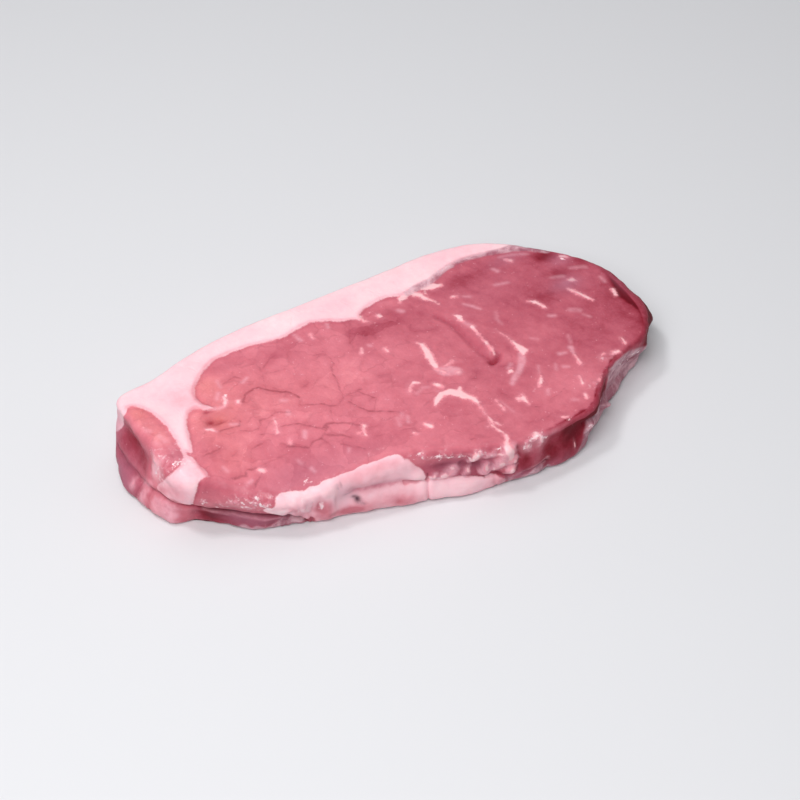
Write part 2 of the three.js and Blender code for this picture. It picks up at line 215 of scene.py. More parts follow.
# Marbling: how white it is, and a chain of (x, y, half width).
MARBLING = (
    # the long streak and the arch in the middle
    (1.0, ((7.2, 9.6, 0.3), (8.3, 7.8, 1.0), (7.9, 4.2, 1.4), (7.2, 0.6, 1.4), (6.4, -2.6, 1.3),
        (6.2, -4.6, 1.0))),
    (0.57, ((6.2, -5.6, 1.2), (7.6, -7.6, 2.2), (9.6, -8.4, 2.4), (11.6, -9.6, 2.0))),
    (0.7, ((6.0, -6.0, 0.5), (7.4, -8.2, 0.8))),
    (0.6, ((9.0, -5.4, 0.5), (11.6, -5.2, 0.8), (13.6, -4.4, 0.4))),
    (0.6, ((10.6, -10.0, 0.5), (12.4, -10.6, 0.8))),
    (1.0, ((-4.9, -20.2, 0.5), (-2.4, -18.4, 1.1), (0.4, -16.8, 1.4), (3.4, -17.4, 1.7), (5.6, -19.6, 1.8),
        (7.4, -22.2, 1.6), (8.8, -24.4, 1.2), (9.2, -26.4, 0.7))),
    (0.8, ((9.2, -26.0, 0.6), (8.7, -29.0, 0.6), (8.3, -33.0, 0.3), (8.4, -36.0, 0.6), (7.0, -38.4, 0.7),
        (7.8, -41.4, 0.4), (8.6, -44.2, 0.7), (7.6, -46.6, 0.7), (5.4, -48.6, 1.5))),
    (0.9, ((5.2, -19.6, 0.5), (6.8, -18.4, 0.9), (8.2, -16.9, 0.4))),
    (0.9, ((0.9, -11.0, 0.4), (1.6, -12.2, 0.9), (2.6, -13.8, 0.5))),
    (0.8, ((5.3, -38.0, 0.3), (8.2, -36.4, 0.6), (9.9, -39.6, 0.3))),
    # between the two muscles
    (0.9, ((20.6, 33.4, 1.6), (22.4, 31.0, 1.3), (24.2, 27.2, 0.8), (25.8, 23.4, 0.2))),
    (0.7, ((25.6, 33.4, 1.2), (29.4, 32.4, 2.0), (32.4, 31.6, 0.7))),
    (0.6, ((26.0, 33.0, 0.5), (24.6, 30.0, 0.4))),
    (0.9, ((14.0, 31.2, 0.3), (15.4, 32.8, 1.3), (18.2, 33.6, 1.1))),
    (0.7, ((27.2, 15.2, 0.3), (28.2, 13.0, 1.3), (27.8, 10.6, 0.4))),
    (0.35, ((28.0, 10.0, 0.8), (29.6, 6.0, 1.0))),
    (0.85, ((29.2, 6.6, 0.7), (29.1, 3.0, 0.4), (28.9, -3.0, 0.6), (28.6, -8.8, 0.6))),
    (0.6, ((36.0, 0.8, 0.2), (37.2, -4.0, 0.4), (37.8, -8.0, 0.7))),
    (1.0, ((37.7, -7.6, 0.5), (37.9, -10.6, 1.3), (38.4, -12.8, 1.5), (37.2, -15.2, 0.4))),
    (0.57, ((37.0, -14.0, 1.0), (35.0, -17.0, 1.2), (31.4, -20.4, 1.0), (27.6, -22.8, 1.0),
        (25.4, -24.4, 0.8))),
    (0.8, ((26.8, -20.0, 0.4), (28.4, -19.4, 0.9), (29.6, -18.6, 0.3))),
    (0.5, ((30.6, -16.4, 0.6), (28.2, -17.6, 0.3))),
    # the second muscle
    (0.8, ((55.4, 7.2, 0.5), (57.0, 5.4, 1.1), (58.7, 1.6, 0.7))),
    (0.4, ((57.4, -2.8, 0.6), (59.2, -3.8, 0.7))),
    (0.8, ((72.2, 5.2, 0.5), (74.0, 1.8, 0.9), (75.4, -1.4, 0.8), (76.8, -3.8, 0.4))),
    (0.9, ((75.4, 9.2, 0.7), (77.0, 8.8, 1.0))), (0.8, ((87.2, -2.8, 0.8), (86.0, -5.6, 0.9))),
    (0.5, ((33.6, 18.2, 0.3), (35.6, 15.8, 0.7), (37.4, 12.8, 0.3))),
    (0.6, ((32.2, 23.8, 0.6), (34.0, 23.2, 0.6))), (0.35, ((36.0, 21.8, 0.4), (37.8, 20.4, 0.6))),
    (0.4, ((54.2, 29.0, 0.6), (55.0, 27.0, 0.9))), (0.7, ((61.6, 31.6, 0.6), (62.8, 29.4, 1.1))),
    # The pale spot at (81.2, 22.0) is a painted highlight, the glare of the wet surface.
    (0.9, ((81.2, 22.0, 0.8), (82.8, 21.0, 0.8))), (0.3, ((66.2, -4.2, 1.0), (68.8, -5.8, 1.1))),
    (0.35, ((87.4, 5.0, 0.8), (87.2, 2.4, 0.6))), (0.35, ((69.0, -8.4, 0.4), (70.4, -10.6, 0.5))),
    (0.3, ((44.6, -9.0, 0.3), (46.6, -10.8, 0.3))), (0.35, ((49.6, 20.8, 0.6), (54.6, 19.6, 0.5))),
    (0.3, ((41.4, 8.6, 0.4), (39.6, 5.4, 0.5), (39.6, 2.0, 0.3))),
    (0.3, ((70.4, 13.6, 0.6), (74.8, 12.2, 0.9))), (0.3, ((80.4, 14.8, 0.7), (85.6, 12.8, 0.9))),
    (0.3, ((60.6, 33.4, 0.7), (66.0, 32.2, 0.9), (70.6, 29.6, 0.6))),
    # right front
    (0.7, ((48.3, -33.6, 0.4), (47.0, -37.4, 0.6))), (0.8, ((53.4, -24.0, 0.5), (52.7, -28.6, 0.8))),
    (0.55, ((54.4, -20.2, 0.9), (53.6, -23.6, 0.4))), (0.5, ((49.0, -20.8, 0.7), (51.2, -21.4, 0.4))),
    (0.8, ((36.2, -26.8, 0.4), (34.6, -29.2, 0.9), (32.8, -30.6, 0.4))),
    (0.5, ((34.4, -33.6, 0.5), (33.2, -35.2, 0.3))),
    (1.0, ((23.0, -32.0, 0.9), (24.6, -32.6, 1.2), (24.5, -35.4, 0.3))),
    (0.8, ((25.2, -30.8, 0.3), (24.4, -33.0, 0.7))), (0.8, ((73.6, -25.6, 0.6), (73.0, -28.6, 0.7))),
    (0.8, ((66.0, -30.2, 0.7), (68.0, -30.8, 0.8))), (0.6, ((61.2, -29.6, 0.4), (63.0, -28.8, 0.4))),
    (0.7, ((15.3, -28.6, 0.3), (15.2, -33.8, 0.5))), (0.9, ((44.6, -42.2, 0.7), (44.2, -43.4, 0.6))),
    (0.4, ((44.4, -24.4, 0.4), (43.2, -26.6, 0.3))), (0.4, ((46.4, -26.8, 0.5), (48.0, -27.8, 0.4))),
    (0.4, ((39.2, -41.8, 0.5), (40.8, -42.8, 0.4))), (0.8, ((53.6, -39.2, 0.8), (55.6, -38.4, 0.8))),
    (0.6, ((31.0, -46.6, 0.4), (33.2, -47.6, 0.5))),
    (0.8, ((15.6, -50.2, 0.8), (18.4, -49.2, 1.2), (20.4, -50.6, 0.6))),
    (0.35, ((16.6, -30.0, 0.2), (17.6, -36.0, 0.3))), (0.35, ((38.6, -22.0, 0.3), (36.6, -25.4, 0.4))),
    (0.3, ((57.4, -14.6, 0.4), (55.8, -18.4, 0.4))),
    # left and middle
    (0.9, ((-31.4, -15.8, 0.8), (-32.4, -17.4, 0.5), (-33.4, -19.6, 0.8))),
    (0.6, ((-35.6, -17.8, 0.3), (-33.2, -18.2, 0.5))),
    (0.9, ((-12.8, -26.0, 0.7), (-12.0, -27.2, 0.9), (-11.4, -28.2, 0.5))),
    (0.5, ((-16.0, -19.8, 0.3), (-17.4, -22.4, 0.4))), (0.4, ((-16.8, -17.6, 0.3), (-18.6, -19.6, 0.3))),
    (0.4, ((-19.6, -18.6, 0.2), (-20.8, -22.4, 0.3))),
    (0.65, ((-8.6, -10.0, 0.5), (-7.0, -8.0, 0.8), (-5.2, -7.0, 0.9), (-3.4, -8.0, 0.4))),
    (0.6, ((-18.4, -27.6, 0.5), (-17.8, -28.4, 0.4))),
    (0.35, ((-7.0, -12.2, 0.4), (-4.0, -10.6, 0.5), (-1.4, -11.4, 0.3))),
    (0.75, ((-56.7, 2.0, 0.4), (-57.4, -0.6, 0.4), (-58.7, -3.4, 0.8))),
    (0.5, ((-50.6, 2.8, 0.5), (-51.2, 1.6, 0.6))), (0.55, ((-50.4, -8.0, 0.5), (-51.6, -10.0, 0.6))),
    (0.6, ((-56.8, -8.6, 0.6), (-57.2, -9.6, 0.5))), (0.9, ((-71.6, -13.8, 0.9), (-70.6, -14.4, 0.9))),
    (0.4, ((-81.8, -9.4, 0.5), (-82.2, -7.8, 0.3))), (0.8, ((-11.6, 17.0, 0.3), (-12.8, 14.8, 0.8))),
    (0.4, ((-8.4, 17.4, 0.5), (-8.0, 16.8, 0.5))), (0.7, ((-4.4, 12.8, 0.6), (-4.2, 11.2, 0.5))),
    (0.8, ((3.2, 29.2, 1.0), (3.4, 28.4, 1.0))), (0.4, ((11.2, 27.6, 1.0), (12.2, 26.8, 0.8))),
    (0.8, ((-3.2, 32.0, 1.1), (-3.0, 29.4, 0.9), (-1.8, 28.0, 0.3))),
    (0.5, ((-28.7, 35.4, 0.5), (-28.3, 32.0, 0.7))), (0.6, ((-23.6, 32.8, 0.5), (-24.0, 30.8, 0.6))),
    (0.5, ((-15.5, 34.6, 0.4), (-16.3, 32.6, 0.4))), (0.8, ((-62.9, 16.0, 0.8), (-63.3, 15.4, 0.7))),
    (0.5, ((-72.6, 17.8, 0.6), (-70.8, 16.4, 0.6), (-68.6, 16.2, 0.5))),
    (0.8, ((-68.2, 16.4, 0.4), (-66.9, 18.0, 0.8), (-66.4, 20.2, 0.7))),
    (0.5, ((-68.8, 20.8, 0.6), (-67.0, 23.0, 0.4))),
    (0.7, ((-79.6, 9.8, 0.4), (-77.6, 8.4, 0.9), (-76.8, 7.4, 0.4))),
    (0.5, ((-68.4, 6.4, 0.3), (-70.8, 7.6, 0.3))), (0.35, ((-64.4, 28.6, 0.4), (-64.9, 25.2, 0.5))),
    (0.4, ((-84.4, -14.6, 0.4), (-83.6, -15.4, 0.4))),
    (0.5, ((-80.2, -17.2, 0.3), (-77.8, -16.2, 0.4), (-76.0, -15.8, 0.3))),
    (0.5, ((-86.4, -12.6, 0.5), (-85.0, -13.8, 0.4))), (0.4, ((-49.8, 8.4, 0.7), (-48.6, 7.6, 0.6))),
    (0.5, ((-57.0, 23.4, 0.5), (-54.6, 24.6, 0.3))), (0.5, ((-55.8, -21.4, 0.6), (-55.6, -22.6, 0.5))),
    (0.35, ((-58.2, -16.6, 0.5), (-57.8, -18.0, 0.4))), (0.4, ((-41.0, -21.6, 0.4), (-41.8, -22.6, 0.3))),
    (0.35, ((-97.6, 19.6, 0.8), (-96.4, 17.8, 0.8))), (0.3, ((-98.4, 12.8, 0.9), (-96.6, 11.2, 0.9))),
    (0.25, ((-94.6, 14.0, 1.0), (-94.0, 11.0, 0.8))),
)
# Cracks between bundles of fibres: (strength, chain of (x, y)).
CRACKS = (
    (1.0, ((-61.6, 15.0), (-59.2, 17.4), (-55.4, 18.6), (-53.3, 18.2), (-51.2, 15.8), (-48.7, 13.8),
        (-46.2, 11.6), (-44.6, 9.2), (-43.8, 6.6))),
    (0.7, ((-68.7, 3.4), (-66.2, 1.8), (-64.0, 0.8), (-62.4, 2.2), (-61.2, 4.0), (-58.6, 3.8), (-54.5, 4.4),
        (-52.0, 3.4), (-50.2, 2.0))),
    (0.7, ((-45.4, 3.4), (-42.8, 2.4), (-39.5, 0.4), (-36.6, -2.0), (-34.5, -3.2), (-32.4, -2.4),
        (-30.4, -1.0), (-27.4, -0.8), (-22.8, -0.4))),
    (0.8, ((-24.2, 15.4), (-26.2, 13.2), (-27.4, 10.8), (-28.0, 7.4), (-29.0, 4.2), (-29.9, 0.8),
        (-30.6, -1.4))),
    (0.8, ((-56.2, -1.8), (-52.8, -3.0), (-49.8, -4.2), (-47.0, -6.8), (-44.4, -9.4))),
    (1.0, ((-44.4, -10.0), (-42.0, -8.6), (-39.4, -9.2), (-37.0, -10.8), (-34.4, -13.2), (-32.0, -15.4))),
    (0.9, ((-58.8, -10.4), (-55.2, -11.8), (-52.4, -13.8), (-49.4, -12.8), (-46.6, -12.8), (-44.2, -11.6),
        (-42.2, -9.8))),
    (0.6, ((-46.6, -12.8), (-46.2, -15.0), (-45.4, -17.6))),
    (0.9, ((-44.2, -12.2), (-41.2, -14.6), (-37.8, -17.6))),
    (0.9, ((-88.0, -12.6), (-82.0, -12.8), (-77.0, -13.4), (-75.0, -11.6), (-72.4, -12.8))),
    (0.7, ((-77.0, -19.4), (-75.2, -17.4), (-72.4, -15.8))),
    (0.7, ((-85.8, -0.4), (-82.8, -0.8), (-79.4, -0.2))), (0.5, ((-77.4, -5.0), (-74.4, -4.2))),
    (0.6, ((-69.8, -5.8), (-65.2, -5.0))), (0.4, ((-73.6, -11.6), (-72.0, -8.2), (-69.8, -5.4))),
    (0.7, ((-63.2, 26.2), (-60.6, 26.8), (-58.2, 27.6), (-56.2, 25.8))),
    (0.6, ((-47.0, 26.2), (-44.8, 28.0), (-42.8, 29.2), (-40.0, 30.0))),
    (0.4, ((-48.6, 23.4), (-44.4, 22.8), (-40.2, 22.0))),
    (0.8, ((-75.4, 6.8), (-72.4, 6.2), (-68.6, 5.8), (-67.0, 7.6))), (0.5, ((-39.6, 10.8), (-37.0, 11.6))),
    (0.7, ((-29.8, -3.4), (-28.2, -7.4), (-26.2, -10.4), (-22.8, -12.8), (-20.2, -14.0), (-17.0, -16.8))),
    (0.7, ((-24.2, -1.6), (-22.4, -4.2), (-21.2, -6.2))),
    (0.6, ((-42.0, -18.4), (-38.6, -21.8), (-36.2, -24.6))), (0.5, ((-30.4, -17.4), (-27.0, -18.4))),
    (0.4, ((-70.4, -12.2), (-65.2, -12.6), (-59.4, -12.4))),
    (0.5, ((-64.4, -1.8), (-62.0, -2.6), (-60.2, -4.2))),
    (0.5, ((-14.0, 21.0), (-11.0, 26.0), (-9.0, 30.0))),
    (0.5, ((-24.4, 22.6), (-24.2, 18.0), (-24.2, 15.4))),
    (0.4, ((-36.6, -2.2), (-38.6, -6.4), (-39.4, -9.2))),
    (0.4, ((-51.0, 15.8), (-50.0, 20.6), (-48.6, 23.4))), (0.4, ((-43.8, 6.6), (-45.4, 3.4))),
    (0.6, ((14.2, -15.2), (16.0, -15.6), (18.2, -13.2))), (0.5, ((19.4, -25.8), (21.0, -29.4))),
    (0.5, ((26.0, -37.4), (27.8, -38.8))), (0.5, ((32.6, -37.6), (36.2, -37.0), (40.2, -36.2))),
    (0.4, ((19.4, -43.2), (25.0, -44.0), (31.0, -43.2))), (0.6, ((-3.0, -40.0), (-1.6, -40.2))),
    (0.5, ((26.8, -15.0), (29.4, -16.8), (31.8, -15.8), (33.6, -12.6), (34.8, -9.2))),
    (0.4, ((-1.0, -11.0), (0.2, -8.6), (2.6, -9.6))), (0.4, ((10.0, 15.6), (14.6, 13.2), (18.0, 13.0))),
    (0.4, ((-14.0, 2.4), (-8.0, 1.4), (-2.0, 2.6))), (0.3, ((42.0, -10.6), (47.0, -13.6), (52.6, -13.0))),
)
FAINT = 0.58  # marbling under this strength is a soft smudge
# The groove beside the seam between the two muscles, and the pit that it ends in.
SEAM_GROOVE = (
    (22.0, 18.4), (23.6, 15.6), (24.5, 12.0), (24.8, 6.0), (25.0, 0.0), (25.2, -6.0), (26.2, -11.0),
)
SEAM_PIT = ((25.4, -11.8), (27.6, -11.8), (29.4, -9.8))
HOLLOWS = ((-76.2, 12.0, 1.4, 1.5, 1.4), (-73.4, 10.2, 2.2, 0.8, 1.3), (-74.6, 17.0, 1.6, 0.8, 1.0),
           (16.6, 27.4, 0.9, 1.9, 0.3))
# How dark the lean is, on the scale of LEAN_TONES, over what it is on the whole. The patches at (28.8, -3),
# beside the seam, and at (76, 25) are painted shade of hollows.
FACE_TONES = (
    (45, -34, 14, 9, -0.65), (48, -10, 12, 9, -0.3), (-20, 6, 12, 10, -0.3), (-58, -20, 16, 7, 0.75),
    (40, 30, 12, 5, 0.35), (-6, 24, 5, 4.5, 0.75), (6, 24.5, 7, 5, 0.65), (-59, 34, 10, 3.5, 0.45),
    (-68, 30, 4, 4, -0.3), (33, -15, 3.6, 3.6, -0.45), (28.8, -3, 2.2, 5, 0.5), (-18, 8, 8, 6, -0.25),
    (17, 22, 5, 4, 0.35), (88, -12, 7, 14, 0.5), (-30, -24, 20, 6, 0.1), (64, 7, 7, 3, 0.3),
    (76, 25, 5, 3, 0.8), (-33, 30, 10, 5, 0.3), (-45, 31, 12, 6, 0.25), (-12, -4, 12, 7, 0.1),
    (-66, 8, 20, 20, 0.14), (70, -18, 14, 9, 0.15), (75, 14, 6, 4, 0.5), (17, 4, 6, 10, -0.15),
    (15, -22, 6, 6, -0.2), (40, 30, 9, 5, 0.2), (82, 8, 7, 7, -0.2), (80, 20, 7, 5, -0.25),
    (-13, 17, 6, 5, 0.3), (-24, 8, 6, 5, 0.3), (76, 26, 5, 4, 0.5), (86, 17, 4, 4, 0.5),
    (-57, -10, 5, 4, 0.25), (31, -19, 5, 4, 0.25), (64, -10, 5, 4, 0.25), (9, 34, 5, 3, -0.3),
    (42, 35, 6, 3, -0.3), (75, -19, 5, 4, -0.3), (-34, -31, 6, 2.5, -0.3), (5, 20, 14, 6, 0.1),
    (-94.5, 5, 4, 5, 0.55), (30, -40, 10, 6, -0.2), (-76, 12, 4, 4, 0.35), (-83, -2, 5, 3.5, 0.35),
)
# Where the lean turns orange.
WARM_PATCHES = (
    (-66, 18, 18, 14, 0.3), (-76, 10, 10, 10, 0.3), (-74, 11, 4, 3, 0.5), (-69, 29, 5, 5, 0.4),
    (-96, 28, 5, 4, 0.6), (-95, 18, 4, 9, 0.4), (-78, -6, 9, 8, 0.3), (-40, 8, 20, 12, 0.15),
)
FACE_FLUSH = 0.14  # how red the fat of the face is
FLUSHES = (  # over that
    (-80, 38, 40, 16, 0.12), (-93, -7, 8, 6, 0.5), (-78, 25, 7, 8, 0.15), (-98, 14, 4, 12, 0.3),
    (-80, 25, 6, 8, 0.3), (-70, 36, 8, 3, 0.1), (46, 43, 14, 5, 0.15), (-8, 40, 10, 6, 0.2),
    (24, 32, 8, 3, 0.35), (60, 41, 10, 3, 0.12), (-60, -31, 20, 3, 0.2), (-66, -33, 4, 3, 0.3),
)
# The patches at (74, 8), (72, 8), (80, 21) and (62, 31) are a painted sheen.
FACE_MAUVE = (  # how much it turns to grey and mauve
    (-62, -21, 18, 6, 0.3), (-45, -26, 14, 4, 0.2), (74, 8, 7, 5, 0.45), (80, 21, 5, 4, 0.5),
    (62, 31, 8, 3, 0.4), (72, 8, 6, 2.5, 0.3), (93, 1, 3, 8, 0.5), (45, 20, 20, 12, 0.1),
    (-94.5, 5, 4, 5, 0.25), (-88, -14, 4, 3, 0.2),
)
# Where it is wet the coat is glossier, and a sheen and glint specks are painted into the colour.
FACE_WET = (  # how wet it is
    (-82, -20, 6, 2.4, 0.5), (-70, -24, 6, 1.6, 0.5), (-56, -28, 8, 1.2, 0.4), (-18, -39, 7, 1.2, 0.8),
    (-4, -45, 5, 1.2, 0.8), (17, -49.5, 4, 1.6, 0.9), (64, -31, 6, 2, 0.6), (52, -39, 7, 2, 0.5),
    (-30, -34, 8, 2, 0.3), (-92, 8, 5, 9, 0.35), (-97, 22, 2, 4, 0.4), (-96, 0, 6, 2, 0.8),
    (-69, 18, 4, 3, 0.3), (-36, -27.5, 8, 1.2, 0.4),
)
# Past this line the upper face falls to a dark ledge round the right end; its darker colour is dark red
# flesh and partly painted shade of the end turned from the light.
DARK_EDGE = (
    (93.0, 8.5), (91.2, 5.7), (89.8, 1.3), (88.3, -3.7), (87.5, -7.4), (88.4, -12.2), (88.9, -17.0),
    (87.6, -21.2), (84.9, -25.9), (81.4, -30.0), (86.0, -36.0), (110.0, -30.0), (110.0, 8.0),
)
# Where the dark side comes up to the rim at the front right; the colour is painted darker there, dark red
# flesh and partly painted shade of the side turned from the light.
RIGHT_RIM = ((92.5, 9.0), (93.5, -3.0), (90.8, -17.5), (85.0, -27.0))
DARK_RIM = ((24.0, -51.0), (40.0, -50.0), (47.5, -46.5), (54.5, -40.2), (62.0, -35.6), (66.0, -33.4))
# Grey connective skin where the fat cap meets the second muscle: chain and half widths.
SILVERSKIN = (
    (18.5, 33.8), (23.0, 34.6), (28.0, 34.8), (33.0, 36.2), (38.0, 38.0), (44.0, 39.1), (50.0, 39.0),
    (57.0, 37.7), (63.0, 36.3), (68.0, 35.2), (73.0, 33.0), (78.5, 28.6),
)
SILVERSKIN_WIDTHS = (0.0, 0.3, 0.5, 0.2, 0.0, -0.1, -0.1, 0.0, 0.2, 0.8, 1.5, 1.4)

# ---- markings on the side: s, z ------------------------------------------------------------------------

SIDE_FAT = (
    # the fat cap, round the back and the left corner
    ((-190.0, 45.0), (10.0, 45.0), (8.6, 26.0), (6.8, 21.5), (5.6, 17.0), (3.6, 13.5), (1.5, 11.0),
        (-1.0, 8.0), (-4.0, 4.0), (-8.0, -10.0), (-176.0, -10.0), (-178.5, 2.0), (-182.0, 6.0),
        (-184.0, 10.0), (-188.0, 13.5), (-189.0, 17.0)),
    # the block of fat at the front left corner
    ((48.0, 40.0), (44.6, 27.0), (40.6, 22.6), (36.4, 16.6), (34.6, 13.2), (38.0, 11.6), (44.0, 10.8),
        (48.8, 10.0), (49.6, 13.0), (51.0, 18.0), (53.0, 24.5), (56.0, 40.0)),
    # the strip along the front: left end, upper lobe, and lower band
    ((73.8, 11.0), (75.2, 13.4), (78.0, 16.4), (80.0, 45.0), (99.0, 45.0), (98.6, 16.0), (97.8, 8.0),
        (98.6, -6.0), (92.0, -6.0), (91.4, 3.0), (89.2, 3.4), (87.4, 2.0), (84.8, 4.6), (81.6, 7.0),
        (78.0, 8.4)),
    ((96.0, 45.0), (96.0, -6.0), (132.0, -6.0), (132.0, 9.0), (128.0, 9.6), (131.2, 10.4), (131.4, 11.8),
        (130.0, 14.2), (127.8, 16.6), (125.8, 19.2), (123.6, 22.0), (121.6, 45.0)),
    ((132.0, -6.0), (132.2, 9.8), (136.0, 9.9), (142.0, 9.2), (147.0, 8.5), (151.0, 7.4), (154.0, 5.4),
        (156.6, 2.2), (157.0, -6.0)),
    ((152.6, 6.8), (156.0, 6.6), (158.8, 5.0), (160.4, 1.8), (160.0, -6.0), (155.0, -6.0)),
)
# Soft lumps of fatty tissue, in the hollow over the band and under the ragged end of the membrane.
SIDE_LUMPS = (
    ((34.6, 9.2), (38.0, 10.2), (42.0, 9.4), (42.6, 5.0), (42.8, -6.0), (34.6, -6.0), (34.0, 4.0)),
    ((28.2, 7.6), (30.4, 9.2), (31.0, 5.6), (29.6, 1.0), (27.0, -3.0), (27.2, 3.0)),
    ((24.8, 9.6), (27.6, 11.6), (31.4, 12.8), (30.2, 10.2), (27.0, 8.8)),
    ((21.4, 4.6), (21.4, 7.4), (22.6, 8.4), (23.8, 6.8), (23.2, 4.4)),
    ((29.4, 16.0), (30.2, 20.4), (33.2, 25.0), (35.6, 25.6), (34.2, 20.6), (32.2, 16.4)),
    ((136.0, 9.6), (137.2, 11.0), (139.6, 12.4), (142.2, 13.8), (143.6, 13.0), (143.0, 10.8), (141.0, 9.4),
        (138.4, 9.0)),
    ((133.8, 10.0), (134.4, 11.8), (135.4, 11.4), (135.2, 9.6)),
    ((145.0, 9.8), (145.4, 11.4), (146.8, 12.4), (147.6, 11.4), (146.8, 9.8)),
    ((146.0, 14.2), (147.0, 16.0), (148.6, 17.8), (151.0, 19.6), (151.4, 17.6), (149.8, 15.4),
        (147.8, 13.8)),
    ((150.6, 8.8), (150.8, 11.4), (152.4, 13.4), (154.6, 12.8), (155.0, 10.2), (153.6, 8.2)),
    ((152.4, 15.8), (153.2, 17.6), (156.4, 18.4), (156.2, 16.4)),
    ((155.8, 9.2), (155.0, 11.4), (155.8, 13.8), (158.0, 16.4), (159.2, 20.4), (163.4, 21.4), (163.6, 16.4),
        (164.8, 12.0), (164.2, 10.2), (161.0, 10.6), (158.6, 9.8)),
    ((159.6, 7.2), (160.0, 9.6), (161.8, 10.4), (163.8, 9.2), (163.6, 7.0), (161.8, 6.0)),
)
# Bright spots on those lumps, paler fat and partly painted highlight: s, z, half length, half height, how
# white.
LUMP_TIPS = (
    (138.0, 10.3, 1.5, 0.8, 1.0), (141.0, 12.4, 1.0, 0.6, 0.6), (134.6, 10.6, 0.5, 0.6, 0.7),
    (146.5, 11.3, 0.6, 0.7, 0.8), (149.3, 17.4, 1.5, 1.6, 1.0), (148.0, 15.6, 0.8, 0.8, 0.8),
    (153.0, 11.6, 0.7, 1.6, 0.8), (155.5, 10.2, 0.6, 0.8, 0.6), (157.4, 16.8, 1.2, 0.7, 0.8),
    (160.4, 18.0, 1.0, 1.4, 0.8), (161.8, 15.5, 1.1, 3.0, 0.9), (158.4, 12.4, 1.0, 1.2, 0.7),
    (162.0, 8.4, 1.0, 1.3, 0.9), (163.4, 11.6, 0.6, 1.0, 0.7), (168.2, 16.6, 1.0, 1.6, 0.8),
    (173.6, 17.0, 0.9, 1.6, 0.9), (171.6, 18.2, 0.8, 0.8, 0.8), (188.2, 7.0, 0.5, 1.8, 0.8),
    (195.8, 11.4, 1.4, 1.3, 0.9), (194.6, 10.2, 0.8, 1.0, 0.7), (176.8, 6.4, 0.4, 0.9, 0.5),
    (22.4, 6.4, 1.0, 1.8, 0.5), (31.6, 22.0, 0.7, 1.6, 0.7), (35.4, 19.6, 1.2, 0.6, 0.6),
)
# Thin pale lines of skin low on the side.
FASCIA = (
    ((160.5, 2.5), (166.0, 4.6), (170.0, 6.2), (174.4, 6.6), (176.6, 7.6)),
    ((164.0, 1.2), (170.0, 3.4), (175.6, 5.2)), ((53.0, 7.6), (60.0, 6.2), (70.0, 6.6), (80.0, 5.4)),
)
# Whitish patches on the side: pale tissue, and painted highlights near the upper edge from s 168 to 185.
SIDE_HAZE = (
    (32.0, 19.0, 3.2, 6.0, 0.25), (29.0, 5.0, 1.2, 5.0, 0.15), (35.5, 5.0, 1.6, 5.0, 0.15),
    (40.5, 4.5, 2.0, 5.0, 0.35), (168.0, 16.0, 2.2, 2.6, 0.4), (173.6, 16.6, 2.0, 2.4, 0.4),
    (179.0, 17.6, 3.0, 1.0, 0.3), (185.0, 18.2, 3.0, 0.8, 0.3),
)
# Grey membrane low on the side.
MEMBRANE = (
    ((173.0, -6.0), (174.4, 1.6), (177.0, 2.8), (179.4, 1.6), (184.0, 1.2), (187.4, 2.2), (190.0, 3.4),
        (192.0, 6.4), (193.2, 11.0), (195.2, 13.4), (198.6, 12.8), (203.0, 11.2), (207.0, 11.4),
        (210.4, 11.8), (213.6, 10.8), (216.4, 11.6), (218.8, 15.2), (221.0, 17.0), (229.0, 17.4),
        (236.0, 15.4), (243.0, 12.0), (247.6, 9.0), (249.0, -6.0)),
    ((62.6, -6.0), (64.4, 1.6), (66.8, 3.0), (69.0, 1.8), (71.2, 3.0), (74.0, 1.6), (78.0, 3.2),
        (79.6, 5.6), (82.6, 6.0), (85.4, 4.0), (88.0, 1.4), (89.0, -6.0)),
    ((161.6, -6.0), (162.0, 3.0), (165.0, 1.4), (169.4, 2.8), (172.0, 5.4), (174.6, 4.0), (175.0, -6.0)),
)
# Wet highlights painted into the colour: (half width, chain), on the side in (s, z) and on the face in (x,
# y).
SIDE_GLINTS = (
    (0.35, ((132.4, 18.5), (134.4, 18.4), (136.8, 18.8))), (0.25, ((129.0, 20.0), (131.0, 20.2))),
    (0.2, ((139.0, 18.0), (141.4, 18.0))), (0.3, ((142.6, 17.5), (145.0, 17.6))),
    (0.2, ((146.4, 17.2), (147.6, 16.0))), (0.15, ((136.6, 19.4), (136.9, 16.8))),
    (0.25, ((148.2, 16.2), (150.4, 18.8))), (0.15, ((136.8, 10.4), (139.0, 10.8))),
    (0.15, ((155.0, 18.4), (158.0, 19.0))), (0.25, ((169.6, 18.4), (172.4, 18.5))),
    (0.15, ((167.0, 17.3), (166.8, 15.8))), (0.15, ((173.6, 17.8), (173.8, 15.4))),
    (0.25, ((174.4, 17.6), (175.8, 16.6))), (0.3, ((93.6, 8.0), (93.9, 11.0))),
    (0.2, ((86.6, 13.6), (87.0, 15.0))), (0.3, ((53.4, 15.0), (53.2, 13.4))),
    (0.25, ((53.9, 13.6), (54.9, 13.4))), (0.2, ((57.6, 11.0), (57.8, 10.2))),
    (0.2, ((31.6, 17.2), (33.0, 18.4), (34.6, 18.6))), (0.4, ((195.4, 11.8), (196.6, 10.2))),
    (0.2, ((64.0, 17.0), (66.0, 15.6), (67.4, 14.6))), (0.25, ((68.4, 16.6), (69.6, 15.2))),
    (0.3, ((71.0, 17.4), (72.6, 16.0), (73.0, 13.8))), (0.3, ((74.4, 13.6), (75.8, 12.0))),
    (0.2, ((85.6, 8.0), (87.0, 11.0))), (0.2, ((225.0, 13.0), (231.0, 14.6))),
    (0.25, ((235.0, 13.2), (241.0, 10.6))), (0.15, ((230.0, 11.4), (235.6, 9.6))),
    (0.2, ((206.0, 10.6), (210.0, 11.0))),
)
